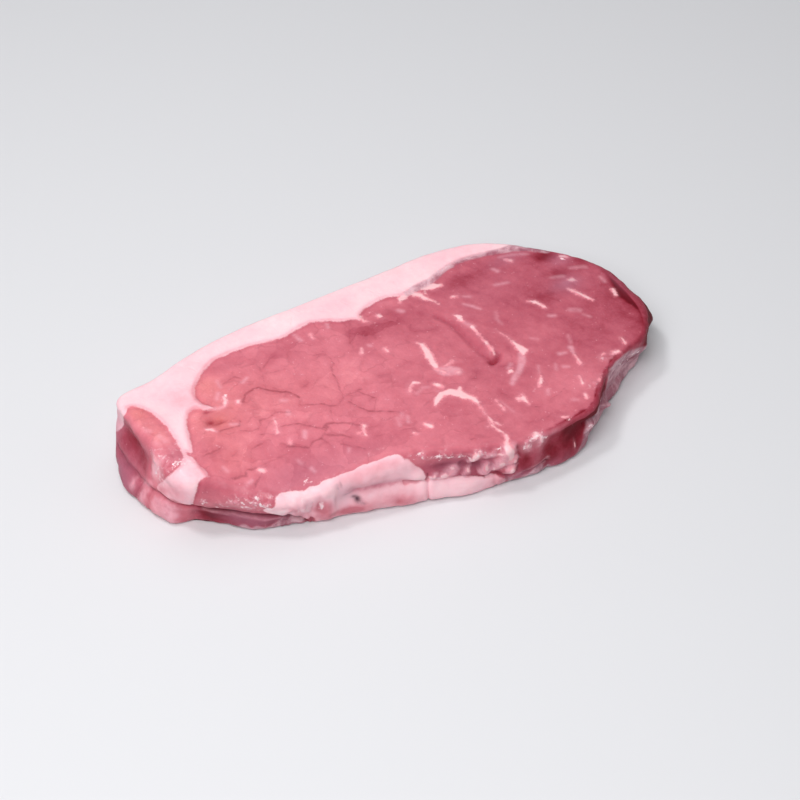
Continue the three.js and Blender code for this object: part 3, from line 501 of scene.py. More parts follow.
FACE_GLINTS = (
    (0.25, ((-85.0, -18.8), (-83.2, -20.2))), (0.25, ((-81.0, -21.8), (-79.6, -22.0))),
    (0.3, ((-78.2, -22.2), (-77.3, -24.5))), (0.2, ((-61.4, -25.6), (-58.4, -25.4))),
    (0.15, ((-60.0, -24.0), (-58.6, -23.6))), (0.4, ((15.2, -49.4), (18.4, -49.8))),
    (0.25, ((19.4, -50.6), (20.4, -51.8))), (0.2, ((11.6, -50.0), (13.6, -49.6))),
    (0.15, ((-98.8, 10.6), (-98.6, 8.6))), (0.15, ((-98.8, 6.0), (-97.8, 3.8))),
    (0.2, ((-96.6, 2.0), (-94.6, 1.0), (-93.4, 0.4))), (0.2, ((-96.6, 1.2), (-95.2, 0.2))),
    (0.15, ((31.4, -49.4), (32.4, -49.2))), (0.15, ((40.4, -49.0), (41.4, -48.4))),
    (0.1, ((27.4, -49.8), (29.0, -49.4))), (0.25, ((58.4, -35.8), (58.8, -36.4))),
    (0.25, ((56.6, -37.6), (56.0, -38.4))), (0.4, ((92.4, -6.4), (92.6, -8.4))),
    (0.2, ((-22.4, -36.4), (-18.4, -38.4))), (0.25, ((80.4, 20.8), (81.4, 20.2))),
    (0.2, ((-66.0, 18.4), (-65.4, 20.6))), (0.3, ((-41.0, -32.6), (-38.6, -33.2))),
)
# Grooves in the side: (depth, half width, chain of (s, z)).
SIDE_GROOVES = (
    (1.1, 0.8, ((6.0, 9.4), (16.0, 9.2), (25.0, 9.4), (30.5, 10.6), (36.0, 11.4), (43.0, 10.2),
        (48.5, 9.6))),
    (1.9, 0.9, ((45.0, 9.8), (50.0, 9.8), (55.0, 8.4), (62.5, 7.8), (72.0, 8.0), (78.0, 7.4), (82.0, 5.8),
        (86.0, 3.4), (88.6, 1.4))),
    (0.9, 1.6, ((106.0, 11.8), (112.0, 11.4), (118.0, 10.6), (124.0, 9.8), (128.0, 9.4))),
    (1.0, 0.6, ((124.0, 9.7), (129.0, 9.3), (135.0, 9.2), (142.0, 8.8), (148.0, 8.1), (153.0, 7.3),
        (157.0, 6.9), (160.4, 5.2), (161.8, 2.0))),
    (0.8, 0.7, ((155.0, 8.6), (158.0, 7.4), (161.4, 5.4))),
    (1.0, 0.5, ((132.3, 11.4), (132.0, 6.0), (132.5, -1.0))),
    (0.6, 0.5, ((156.2, 6.6), (156.0, 3.4), (157.2, 0.0))),
    (0.7, 0.6, ((90.8, 11.8), (90.4, 8.0), (89.8, 4.8), (90.6, 1.0))),
    (0.7, 0.6, ((48.8, 10.6), (50.2, 14.6), (51.8, 19.0), (53.6, 25.0))),
    (0.35, 0.9, ((27.6, 24.0), (28.0, 18.0), (30.4, 13.6))),
    (0.4, 0.7, ((32.4, 10.0), (31.8, 5.0), (32.6, 1.0))),
    (0.35, 0.7, ((26.2, 9.0), (25.4, 5.0), (25.8, 1.0))),
    (0.3, 0.8, ((43.4, 9.0), (43.6, 5.0), (44.4, 1.0))),
    (0.7, 0.8, ((164.6, 17.0), (165.2, 12.0), (164.6, 7.0), (162.0, 5.0))),
    (0.6, 0.7, ((167.0, 4.6), (170.4, 4.6), (173.0, 5.4), (176.0, 5.6))),
    (0.5, 0.8, ((176.2, 5.6), (177.4, 3.0), (177.0, 0.0))),
    (1.3, 0.9, ((193.0, 14.0), (200.0, 12.6), (207.0, 10.6), (212.4, 9.6), (215.4, 13.6), (219.6, 17.4))),
    (0.4, 0.6, ((144.0, 14.4), (144.4, 12.0), (143.8, 9.4))),
    (0.4, 0.6, ((148.2, 13.4), (149.4, 11.0), (149.8, 9.0))),
    (0.5, 0.6, ((152.4, 14.8), (155.4, 14.6), (155.0, 12.0))),
    (0.4, 0.5, ((157.8, 9.6), (160.4, 10.2), (163.8, 10.2))),
    (0.6, 0.5, ((200.0, 6.4), (210.0, 3.4), (220.0, 6.4), (232.0, 6.0))),
    (0.5, 0.5, ((219.0, 11.4), (228.0, 12.4), (238.0, 9.0))),
)
# Swells on the side: (s, z, half length, half height, how far out).
SIDE_SWELLS = (
    (2.0, 16.0, 2.6, 6.0, 1.0), (14.0, 17.0, 10.0, 4.6, -2.2), (20.0, 10.5, 8.0, 4.6, -1.1),
    (16.0, 5.0, 9.0, 4.0, 1.0), (36.0, 5.0, 6.0, 5.0, 0.5), (41.2, 1.5, 2.6, 4.0, 1.0),
    (49.5, 3.0, 6.5, 7.5, -2.0), (67.0, 1.5, 7.0, 4.0, 0.9), (43.0, 18.5, 7.0, 6.0, 0.4),
    (31.0, 11.4, 4.0, 1.6, 0.7), (62.0, 14.0, 13.0, 3.0, 0.5), (80.0, 2.5, 7.0, 3.0, -1.4),
    (84.0, 13.0, 6.0, 4.0, 0.8), (87.0, 11.6, 1.3, 4.2, 0.9), (84.0, 8.6, 2.6, 2.4, -0.6),
    (93.0, 15.2, 4.0, 1.8, 0.8), (95.2, 8.0, 3.4, 6.0, 1.7), (93.6, 8.6, 2.2, 4.4, -1.9),
    (93.8, 9.2, 0.5, 2.0, 1.0), (98.0, 9.0, 0.8, 4.0, 0.5), (103.0, 9.0, 4.6, 4.0, -0.7),
    (106.8, 7.8, 1.3, 1.4, -0.6), (116.0, 16.2, 12.0, 3.2, 1.2), (129.0, 12.0, 2.6, 1.8, 1.1),
    (121.0, 5.5, 10.0, 4.2, 0.9), (145.0, 5.0, 9.0, 3.6, 1.0), (158.0, 3.5, 2.8, 3.0, 0.5),
    (143.6, 12.8, 9.5, 2.8, -1.6), (158.2, 13.0, 2.4, 3.6, 0.5), (160.6, 16.0, 2.2, 3.0, 0.9),
    (161.8, 9.4, 1.6, 1.8, 0.5), (160.5, 1.5, 3.4, 3.5, -0.9), (171.6, 11.5, 3.8, 5.5, 1.1),
    (177.0, 1.5, 4.0, 3.5, -1.3), (187.0, 10.0, 6.0, 6.0, -0.8), (197.0, 1.5, 6.0, 5.0, -1.7),
    (181.0, 2.5, 6.0, 2.6, 0.5), (196.4, 11.6, 2.6, 1.8, 0.8), (206.0, 5.0, 8.0, 3.0, 0.5),
    (211.4, 8.2, 2.0, 1.9, 3.2), (209.4, 10.2, 1.2, 1.4, 0.7), (217.0, 4.0, 3.0, 4.0, -0.6),
    (226.0, 1.5, 5.0, 5.0, 1.0), (242.0, 1.5, 5.0, 5.0, -0.8), (226.0, 9.0, 10.0, 5.0, -1.2),
    (245.0, 11.0, 2.4, 3.0, 1.0), (263.0, 13.0, 8.5, 4.6, 4.2), (258.5, 11.0, 3.4, 3.0, 2.2),
    (280.0, 13.0, 8.0, 5.0, 1.8),
)
# The lean of the side is darker than the face's, partly as painted shade of sides turned from the light.
SIDE_TONE = 1.3  # how dark the lean is on the side
# Of these, the dark patches round the right end, from s 170 on, are partly painted shade.
SIDE_TONES = (  # over that
    (12.0, 16.0, 6.0, 5.0, 0.8), (21.5, 16.0, 6.5, 5.0, 0.8), (14.0, 26.0, 14.0, 2.8, -0.9),
    (20.0, 11.6, 9.0, 2.0, -0.3), (12.0, 5.0, 9.0, 6.0, 0.6), (26.0, 5.0, 2.0, 6.0, 0.4),
    (36.0, 5.0, 9.0, 6.0, -0.8), (32.6, 20.0, 4.2, 6.0, -1.9), (46.0, 6.0, 4.0, 5.0, -0.5),
    (55.5, 4.5, 5.0, 4.0, 0.85), (38.0, 4.0, 5.0, 5.0, -0.4), (196.0, 16.0, 7.0, 4.0, 1.1),
    (186.0, 16.5, 5.0, 4.0, 0.6), (192.0, 18.5, 10.0, 2.0, 0.6), (173.0, 12.0, 6.0, 4.0, 0.35),
    (214.2, 12.6, 1.8, 3.6, 1.2), (62.0, 14.5, 16.0, 4.4, -0.5), (66.0, 5.0, 19.0, 3.4, 0.95),
    (129.0, 18.0, 4.0, 2.6, -0.7), (136.5, 14.0, 6.0, 1.4, 0.6), (145.0, 12.0, 10.0, 3.2, 0.6),
    (145.5, 13.4, 2.4, 1.6, 0.6), (150.0, 13.6, 1.2, 1.6, 0.9), (159.4, 14.0, 3.6, 5.0, -0.6),
    (162.0, 8.6, 1.6, 2.0, -0.5), (167.2, 10.5, 2.2, 5.4, 1.1), (167.0, 4.0, 3.0, 3.0, 0.5),
    (171.8, 13.0, 3.4, 5.0, -0.3), (178.0, 9.5, 5.0, 6.0, 0.9), (174.0, 5.0, 5.0, 3.0, 0.7),
    (188.0, 11.5, 6.5, 9.5, 1.6), (205.0, 15.0, 8.0, 5.0, 1.7), (212.0, 12.0, 3.0, 3.0, 0.6),
    (232.0, 18.0, 14.0, 1.8, 0.7), (246.0, 11.0, 6.0, 7.0, 1.4), (258.0, 10.0, 8.0, 12.0, 1.5),
    (270.0, 14.0, 16.0, 5.0, 1.7), (270.0, 4.0, 12.0, 4.0, 1.8), (282.0, 5.0, 9.0, 8.0, 1.4),
    # one patch in two halves, at the corner where s jumps by the length of the rim
    (299.0, 8.0, 12.0, 12.0, 0.9), (-197.6, 8.0, 12.0, 12.0, 0.9),
)
# The patch at (1, 14), on the side of the fat cap, is painted shade, and so is the one at (115, 11) in the
# crease under the upper lobe.
SIDE_FLUSH = (  # how red the fat is
    (112.0, 20.0, 16.0, 2.2, 0.5), (128.0, 16.0, 4.0, 3.0, 0.3), (43.0, 18.0, 7.0, 6.0, 0.6),
    (38.0, 15.0, 2.4, 2.0, 0.4), (84.4, 9.4, 3.0, 2.2, 0.6), (1.0, 14.0, 5.0, 10.0, 0.5),
    (103.0, 3.4, 6.5, 2.0, 1.2), (106.0, 3.4, 2.0, 1.4, 0.5), (123.0, 3.6, 5.6, 2.4, 0.85),
    (120.4, 4.2, 1.4, 1.6, 0.4), (93.8, 7.6, 3.0, 4.6, 1.3), (93.8, 9.4, 0.5, 2.0, -1.3),
    (96.6, 8.0, 1.0, 4.4, 0.4), (90.6, 2.6, 1.6, 2.6, 0.4), (42.8, 11.8, 2.4, 1.0, 0.7),
    (37.0, 5.0, 12.0, 6.0, 0.65), (36.6, 13.6, 2.4, 1.4, 0.5), (115.0, 11.0, 9.0, 1.5, 0.6),
    (146.0, 12.0, 12.0, 3.6, 0.3), (158.0, 14.0, 4.4, 5.0, 0.4), (158.0, 3.5, 3.0, 3.0, 0.5),
    (144.0, 3.0, 12.0, 4.0, 0.1), (110.0, 16.0, 16.0, 4.0, 0.15), (104.0, 9.0, 8.0, 5.0, 0.1),
    (86.0, 5.0, 4.0, 2.0, 0.3), (118.0, 7.0, 14.0, 2.6, 0.4), (110.0, 15.0, 14.0, 4.0, 0.2),
    (144.0, 4.0, 9.0, 4.0, -0.25),
)
# The patch at (1.5, 14), on the side of the fat cap, and the one at (116, 11.6) in the crease under the
# upper lobe are painted shade; the one at (142, 12.8), in the hollow under the rim, partly.
SIDE_MAUVE = (  # how much it turns to grey and mauve
    (15.0, 5.0, 10.0, 6.0, 0.85), (1.5, 14.0, 4.4, 12.0, 0.55), (68.0, 5.0, 18.0, 3.6, 0.7),
    (142.0, 12.8, 10.0, 4.0, 0.6), (153.0, 12.0, 4.0, 4.0, 0.4), (166.0, 3.0, 8.0, 3.0, 0.6),
    (101.5, 10.5, 4.6, 5.0, 0.42), (106.0, 13.0, 4.0, 3.0, 0.2), (116.0, 11.6, 10.0, 1.8, 0.5),
    (88.0, 12.0, 3.0, 3.0, 0.1), (100.2, 16.4, 1.2, 1.6, 0.3), (181.0, 3.0, 7.0, 2.6, 0.3),
    (54.0, 5.0, 6.0, 4.0, -0.25),
)
BRUISE_SPOTS = (  # dark spots on the strip of fat
    (106.7, 7.8, 1.0, 1.5, 1.1), (105.4, 9.2, 0.9, 0.7, 0.7), (108.3, 6.1, 0.9, 0.7, 0.8),
    (99.6, 16.0, 0.4, 1.0, 0.5), (100.9, 16.8, 0.4, 0.9, 0.5), (103.6, 11.2, 1.5, 0.4, 0.45),
)
# Where it is wet the coat is glossier, and a sheen and glint specks are painted into the colour.
SIDE_WET = (  # how wet it is
    (67.0, 14.6, 5.0, 2.8, 1.2), (71.4, 14.4, 2.4, 2.6, 0.8), (75.0, 14.0, 1.8, 2.4, 0.8),
    (53.2, 14.4, 1.6, 2.0, 0.8), (59.0, 13.0, 5.0, 2.6, 0.5), (168.2, 16.4, 2.2, 1.8, 0.9),
    (173.4, 16.8, 2.2, 1.8, 1.0), (32.0, 20.0, 2.6, 4.0, 0.6), (37.0, 18.0, 3.0, 4.0, 0.5),
    (34.0, 26.0, 6.0, 3.4, 1.5), (128.4, 19.6, 3.0, 1.8, 0.9), (137.0, 18.6, 8.0, 0.9, 1.3),
    (149.6, 18.0, 3.0, 2.0, 0.6), (156.0, 17.6, 4.0, 1.6, 0.5), (171.0, 18.4, 4.0, 1.2, 0.8),
    (93.6, 9.6, 0.8, 2.2, 0.8), (78.0, 17.6, 6.0, 1.2, 0.5), (92.0, 20.0, 3.0, 1.6, 0.7),
)


def chain_depth(u, v, chains):
    """Signed distance to the streaks of a table of (half width, chain), positive inside them."""
    return -np.min([to_chain(u, v, chain) - half for half, chain in chains], axis=0)


def lump_depth(s, z):
    """Signed distance to the lumps of fatty tissue, with their outlines drawn wavy."""
    wave = 0.7 * np.sin(1.9 * z + 0.8 * s) + 0.4 * np.sin(2.3 * s - 1.1 * z)
    return np.max([inside(s + wave * 0.6, z + wave * 0.4, outline) for outline in SIDE_LUMPS], axis=0)


def side_part(s, z, points):
    """Signed distances and shades over the side, as a dictionary of arrays."""
    fat = np.max([inside(s, z, outline) for outline in SIDE_FAT], axis=0)
    lumps = lump_depth(s, z)
    silver = np.max([inside(s, z, outline) for outline in MEMBRANE], axis=0)
    groove = sum(depth / 1.6 * bell(to_chain(s, z, chain), width) for depth, width, chain in SIDE_GROOVES)
    tips = patches(s, z, LUMP_TIPS)
    fascia = sum(bell(to_chain(s, z, chain), 0.5) for chain in FASCIA)
    past_corner = ramp(s - 60, 4)
    on_lumps = smooth(0.5 + lumps / (2.6 - past_corner))
    haze = (0.55 + 0.35 * past_corner) * on_lumps + 0.5 * tips + 0.45 * fascia + patches(s, z, SIDE_HAZE)
    crumpled = (0.35 * bell(s - 84, 13) * cloud(points, 2.6, 63, 2)
                + 0.15 * bell(s - 110, 50) * cloud(points, 5.0, 65)
                + 0.16 * (s < 0) * cloud(points, 14.0, 69))
    # Lump tips become bright spots in the marbling: paler fat, and partly painted highlight.
    return {"fat": fat, "marble": 2.6 * tips - 1.3 + 0.9 * on_lumps * past_corner,
            # In the grooves the crack colour and a darker tone are painted shade.
            "haze": np.clip(haze, 0, 1), "silver": silver, "crack": 1.1 - 1.9 * np.clip(groove, 0, 1),
            "tone": SIDE_TONE + patches(s, z, SIDE_TONES) + 0.8 * np.clip(groove, 0, 1.2),
            # The side's fat is redder than the face's, partly painted shade.
            "flush": 0.2 + patches(s, z, SIDE_FLUSH) + 0.25 * bell(z, 7) + crumpled,
            "mauve": patches(s, z, SIDE_MAUVE) * (1 - 0.3 * on_lumps),
            "bruise": patches(s, z, BRUISE_SPOTS), "wet": patches(s, z, SIDE_WET),
            "glint": chain_depth(s, z, SIDE_GLINTS)}


def side_relief(s, z, points):
    """How far the side stands out from its plain profile: swells less grooves, with a little unevenness."""
    grooves = sum(depth * bell(to_chain(s, z, chain), width) for depth, width, chain in SIDE_GROOVES)
    cap = (s < 0) * ramp(s + 188, 3)  # the back of the fat cap is smoother
    past_corner = ramp(s - 60, 4)
    rough = (0.5 * cloud(points, 7.0, 11) * (1 - 0.6 * cap)
             + 0.2 * lattice(points, 2.6, 15) * (1 - 0.75 * cap)
             + 0.3 * patches(s, z, SIDE_WET) * lattice(points, 1.5, 17))
    ragged = (0.45 * bell(s - 84, 13) * cloud(points, 2.0, 19, 2)
              + 0.25 * bell(s - 44, 8) * cloud(points, 3.0, 23, 2))
    lumps = (0.8 * smooth(0.5 + lump_depth(s, z) / 3.0) + 0.5 * patches(s, z, LUMP_TIPS)) * past_corner
    return patches(s, z, SIDE_SWELLS) - grooves + lumps + rough + ragged


def face_part(x, y, points):
    """Signed distances and shades over a cut face, as a dictionary of arrays.

    The lean's tone rises from the left end to the right as a smooth step, with patches on top.
    """
    wobble = 0.3 * cloud(points, 3.0, 21)
    lean = np.maximum(inside(x, y, LEAN), inside(x, y, CORNER_MUSCLE))
    ragged = bell(x + 90, 8) * bell(y + 11, 6) + bell(x + 64, 16) * bell(y + 29, 5)
    fat = np.maximum(-lean, inside(x, y, FRONT_STRIP)) + wobble * (1 + 2 * ragged)
    marble = np.full(np.shape(x), -9.0)
    haze = np.zeros(np.shape(x))
    ledge = smooth(0.5 + (inside(x, y, DARK_EDGE) + wobble) / 2.4)
    for strength, chain in MARBLING:
        chain = np.array(chain)
        depth = -to_chain(x, y, chain[:, :2], chain[:, 2])
        if strength < FAINT:
            haze = np.maximum(haze, (strength + 0.05) * smooth(0.55 + depth / 1.8))
        else:
            marble = np.maximum(marble, depth + 0.15 - 0.5 * (1 - strength))
            haze = np.maximum(haze, 0.15 * smooth(0.8 + depth / 2.0))
    warp_x = x + 0.45 * lattice(points, 2.0, 31)
    warp_y = y + 0.45 * lattice(points, 2.0, 32)
    crack = np.full(np.shape(x), 9.0)
    for strength, chain in CRACKS:
        crack = np.minimum(crack, to_chain(warp_x, warp_y, chain) + 0.35 - 0.65 * strength)
    groove = bell(to_chain(x, y, SEAM_GROOVE), 1.5)
    pit = bell(to_chain(x, y, SEAM_PIT), 1.3)
    skin = to_chain(x, y, SILVERSKIN, SILVERSKIN_WIDTHS)
    hollow = patches(x, y, HOLLOWS)
    tone = 0.42 + 1.13 * smooth((x + 75) / 165) + patches(x, y, FACE_TONES)
    dark_rim = to_chain(x, y, DARK_RIM) + 2.5 * wobble
    # Darker in the seam's groove, its pit and the hollows: painted shade.
    tone = tone + 0.9 * pit + 0.45 * groove + 0.8 * hollow
    # Darker over the right end's ledge, along its border and towards the front right's dark side: dark red
    # flesh and partly painted shade.
    tone = tone + 1.2 * ledge + 1.4 * smooth((2.6 - dark_rim) / 1.4)
    tone = tone + 0.5 * bell(inside(x, y, DARK_EDGE), 1.4) + 0.1 * bell(to_chain(x, y, RIGHT_RIM), 2.6)
    # Darker beside the cracks, painted shade, and along the edge of the lean.
    tone = tone + 0.25 * bell(crack, 1.8) + 0.3 * bell(lean - 0.3, 1.0)
    warm = patches(x, y, WARM_PATCHES)
    flush = FACE_FLUSH + 0.5 * bell(lean + 0.5, 0.9) + patches(x, y, FLUSHES)
    mauve = patches(x, y, FACE_MAUVE)
    wet = patches(x, y, FACE_WET)
    return {"fat": fat, "marble": marble, "haze": haze, "silver": 0.9 - skin, "crack": crack, "tone": tone,
            "warm": warm, "flush": flush, "mauve": mauve, "wet": wet, "groove": groove, "pit": pit,
            "hollow": hollow, "ledge": ledge, "glint": chain_depth(x, y, FACE_GLINTS),
            "cells": 1 - smooth((x - 2) / 22)}


def face_height(x, y):
    """Height of the cut face: a plane that falls to the right and the front, with sags and swells."""
    z = THICKNESS - TAPER_X * x + TAPER_Y * y
    return z - patches(x, y, FACE_SAGS)


def face_relief(x, y, points, part):
    """Fine height of the upper face: domed bundles, proud fat and marbling, the seam and hollows."""
    lean = smooth(0.5 - part["fat"] / 1.6)
    bundles = (-0.16 * bell(part["crack"] + 0.4, 0.7) - 0.1 * bell(part["crack"], 2.4)
               + 0.22 * cloud(points, 9.0, 41) + 0.06 * lattice(points, 2.2, 45))
    proud = 0.3 * (1 - lean) + 0.16 * smooth(0.5 + part["marble"] / 1.2)
    edge = -0.2 * bell(part["fat"] + 0.6, 1.0)
    seam = -0.8 * part["groove"] - 1.3 * part["pit"] - 0.5 * part["hollow"] - 0.25 * part["ledge"]
    step = 0.6 * ramp(x - 26.5, 0.8) * bell(x - 27, 9) * ramp(y + 11, 2) * ramp(17 - y, 3)
    wet = 0.22 * part["wet"] * lattice(points, 1.6, 49)
    ragged = (0.45 * bell(x + 64, 14) * bell(y + 28, 3.5) * cloud(points, 2.2, 53, 2)
              + 0.6 * bell(x + 92, 7) * bell(y + 9, 7) * cloud(points, 3.6, 57, 2))
    body = lean * bundles + (1 - lean) * (0.25 * cloud(points, 12.0, 47) + ragged)
    return body + proud + edge + seam + step + wet


# ---- the mesh -----------------------------------------------------------------------------------------


def stretch(edges, nu, nv):
    """A Coons patch: the grid of points stretched between the four edges of a ring of points.

    Point (u, v) = (1 - u) left + u right + (1 - v) back + v front - the same blend of the four corners.
    """
    left = edges[:nv + 1]
    front = edges[nv:nv + nu + 1]
    right = edges[nv + nu:2 * nv + nu + 1][::-1]
    back = np.vstack([edges[2 * nv + nu:], edges[:1]])[::-1]
    u = np.linspace(0, 1, nu + 1)[:, None, None]
    v = np.linspace(0, 1, nv + 1)[None, :, None]
    corners = ((1 - u) * ((1 - v) * left[0] + v * left[-1]) + u * ((1 - v) * right[0] + v * right[-1]))
    return (1 - u) * left[None] + u * right[None] + (1 - v) * back[:, None] + v * front[:, None] - corners


def ring_of(nu, nv):
    """Grid indices (i, j) of a grid's edge, in the order of the ring."""
    i = np.concatenate([np.zeros(nv), np.arange(nu), np.full(nv, nu), np.arange(nu, 0, -1)])
    j = np.concatenate([np.arange(nv), np.full(nu, nv), np.arange(nv, 0, -1), np.zeros(nu)])
    return i.astype(int), j.astype(int)


def quads(grid):
    """Faces of a grid of point numbers, facing up when rows run along +X and columns along -Y."""
    return np.stack([grid[:-1, :-1], grid[:-1, 1:], grid[1:, 1:], grid[1:, :-1]], -1).reshape(-1, 4)


def rim_points():
    """The rim at even steps: points, the foot's distance outwards, arc length and direction outwards."""
    a, b, c, d = CORNERS
    edges = ((a, b, WIDTH_STEPS), (b, c, LENGTH_STEPS), (c, d, WIDTH_STEPS),
             (d, a + len(STATIONS), LENGTH_STEPS))
    t = np.concatenate([even_parameters(start, end, steps)[:-1] for start, end, steps in edges])
    x, y, foot = closed_curve(STATIONS, t).T
    s = np.concatenate([[0], np.cumsum(np.hypot(np.diff(x), np.diff(y)))])
    total = s[-1] + np.hypot(x[0] - x[-1], y[0] - y[-1])
    s = np.where(s > LAST_S, s - total, s)
    rim = np.stack([x, y], 1)
    along = np.roll(rim, -1, 0) - np.roll(rim, 1, 0)
    out = np.stack([along[:, 1], -along[:, 0]], 1) / np.linalg.norm(along, axis=1)[:, None]
    return rim, foot, s, out


def side_rows(rim, foot, out):
    """The plain side, row by row, and how much of the side's relief each row takes.

    Rows go round a quarter circle at the upper edge, down and out to the foot as a smooth step, and round a
    quarter circle at the foot.
    """
    x, y = rim.T
    edge = (EDGE_RADIUS + SOFT_EDGE * ramp(25 - y, 4) * ramp(-20 - x, 12)
            + RIGHT_EDGE * bell(x - 104, 22) * bell(y - 8, 26))
    top = face_height(*(rim - out * edge[:, None]).T)
    rows = []  # (how far out, height, share of the relief)
    for angle in np.linspace(0, np.pi / 2, EDGE_ROWS + 1)[:-1]:
        rows.append((-edge * (1 - np.sin(angle)), top - edge * (1 - np.cos(angle)), smooth(np.sin(angle))))
    for q in np.linspace(0, 1, SIDE_ROWS + 1)[:-1]:
        rows.append((foot * smooth(q), (top - edge) * (1 - q) + FOOT_RADIUS * q, 1))
    for angle in np.linspace(0, np.pi / 2, FOOT_ROWS + 1):
        z = np.full(len(x), FOOT_RADIUS * (1 - np.sin(angle)))
        rows.append((foot - FOOT_RADIUS * (1 - np.cos(angle)), z, 1))
    points = np.stack([np.column_stack([rim + out * distance[:, None], z]) for distance, z, _ in rows])
    return points, np.array([share for *_, share in rows])[:, None]


def lower_face(ring):
    """Points and markings of the lower face, which is half as fine as the upper one and lies flat."""
    grid = stretch(ring[::2], LENGTH_STEPS // 2, WIDTH_STEPS // 2) * LOWER_SHARE
    x, y = grid[..., 0].ravel(), grid[..., 1].ravel()
    points = np.stack([x, y, np.zeros(x.size)], 1)
    part = face_part(x + 1.5, y - 0.8, points + (0, 0, 40))
    points[:, 2] = 0.25 * bell(part["crack"], 0.6) * bell(x, 70) * bell(y, 30)
    return points, part


def marks(face, side, low, over, around):
    """Every marking over the upper face, the side and the lower face, in that order.

    Round the upper edge the face's marks, carried on in `over`, turn into the side's as a smooth step.
    """
    share = smooth(np.arange(1, EDGE_ROWS) / (EDGE_ROWS - 2))[:, None]
    attributes = {}
    for name, nothing in NO_MARKS.items():
        on_face, on_side, on_low, on_edge = (
            part.get(name, np.full(part["fat"].size, nothing)) for part in (face, side, low, over))
        on_side = on_side.reshape(-1, around).copy()
        near = [np.clip(v, -2.0, 2.0) for v in (on_edge.reshape(-1, around), on_side[:EDGE_ROWS - 1])]
        on_side[:EDGE_ROWS - 1] = near[0] * (1 - share) + near[1] * share
        attributes[name] = np.concatenate([on_face, on_side.ravel(), on_low])
    return attributes


def build_steak():
    """Points, four-sided faces, triangles and markings of the steak, in millimetres on the slab's axes."""
    rim, foot, s, out = rim_points()
    around = len(rim)
    plain, share = side_rows(rim, foot, out)
    s = np.broadcast_to(s, plain.shape[:2])
    z = plain[..., 2]
    relief = side_relief(s.ravel(), z.ravel(), plain.reshape(-1, 3)).reshape(s.shape)
    sides = plain.copy()
    sides[..., :2] += out[None] * (relief * share)[..., None]
    side = side_part(s[1:].ravel(), z[1:].ravel(), plain[1:].reshape(-1, 3))

    grid = stretch(plain[0, :, :2], LENGTH_STEPS, WIDTH_STEPS)
    x, y = grid[..., 0].ravel(), grid[..., 1].ravel()
    face_points = np.stack([x, y, face_height(x, y)], 1)
    face = face_part(x, y, face_points)
    face_points[:, 2] += face_relief(x, y, face_points, face)
    numbers = np.arange(x.size).reshape(LENGTH_STEPS + 1, WIDTH_STEPS + 1)
    ring = numbers[ring_of(LENGTH_STEPS, WIDTH_STEPS)]

    # the rounded edge follows the face's relief, fading down the side
    lift = face_points[ring, 2] - plain[0, :, 2]
    fade = np.zeros(len(plain))
    fade[:EDGE_ROWS] = np.cos(np.linspace(0, np.pi / 2, EDGE_ROWS + 1)[:-1])
    sides[..., 2] += lift[None] * fade[:, None]
    over = plain[1:EDGE_ROWS].reshape(-1, 3)
    over_face = face_part(over[:, 0], over[:, 1], over)
    low_points, low = lower_face(sides[-1, :, :2])

    # the first row of the side is the upper face's own edge; the last is sewn to the coarser lower face
    points = np.vstack([face_points, sides[1:].reshape(-1, 3), low_points])
    first_low = len(points) - len(low_points)
    band = np.vstack([ring, np.arange(len(face_points), first_low).reshape(-1, around)])
    turned = np.roll(band, -1, axis=1)
    side_faces = np.stack([band[:-1], band[1:], turned[1:], turned[:-1]], -1).reshape(-1, 4)
    half = (LENGTH_STEPS // 2, WIDTH_STEPS // 2)
    low_numbers = np.arange(first_low, len(points)).reshape(half[0] + 1, half[1] + 1)
    low_ring = low_numbers[ring_of(*half)]
    fine = band[-1]
    f0, f1, f2 = fine[::2], fine[1::2], np.roll(fine[::2], -1)
    c0, c1 = low_ring, np.roll(low_ring, -1)
    joins = np.vstack([np.stack([f0, c0, f1], -1), np.stack([f1, c0, c1], -1), np.stack([f1, c1, f2], -1)])
    faces = np.vstack([quads(numbers), side_faces, quads(low_numbers)[:, ::-1]])
    return points, faces, joins, marks(face, side, low, over_face, around)


def make_mesh(name, points, faces, triangles, attributes):
    """A closed mesh in metres, with one float attribute for each marking."""
    mesh = bpy.data.meshes.new(name)
    mesh.from_pydata(((points - (*MIDDLE, 0)) * MM).tolist(), [], faces.tolist() + triangles.tolist())
    mesh.update()
    for key, value in attributes.items():
        layer = mesh.attributes.new(key, "FLOAT", "POINT")
        layer.data.foreach_set("value", value.astype(np.float32))
    mesh.polygons.foreach_set("use_smooth", np.ones(len(mesh.polygons), bool))
    piece = bpy.data.objects.new(name, mesh)
    bpy.context.scene.collection.objects.link(piece)
    return piece


# ---- the finish ---------------------------------------------------------------------------------------


def paint(red, green, blue):
    """A colour given as sRGB from 0 to 255, as the linear colour that a shader takes."""
    c = np.array([red, green, blue]) / 255
    return (*np.where(c <= 0.04045, c / 12.92, ((c + 0.055) / 1.055) ** 2.4), 1.0)


# Lean meat at tones 0, 1/2, 1 ... 3, and fat at flushes 0, 1/2, 1, 3/2.
LEAN_TONES = (
    (235, 143, 154), (219, 123, 137), (203, 107, 122), (185, 88, 105), (158, 58, 75), (134, 30, 46),
    (106, 12, 28),
)
FAT_FLUSHES = ((255, 218, 223), (250, 196, 206), (232, 158, 170), (206, 118, 131))
WARM_TINT = (1.04, 1.03, 0.82, 1.0)  # multiplies the lean where it turns orange
# The meat's grey mauve, used also for painted sheen and painted shade.
GREY_MAUVE = paint(170, 116, 138)
# Cracks between bundles; in the side's grooves it is painted shade.
CRACK_RED = paint(132, 42, 56)
MARBLE_PINK = paint(240, 150, 162)
MARBLE_FAT = paint(255, 206, 210)
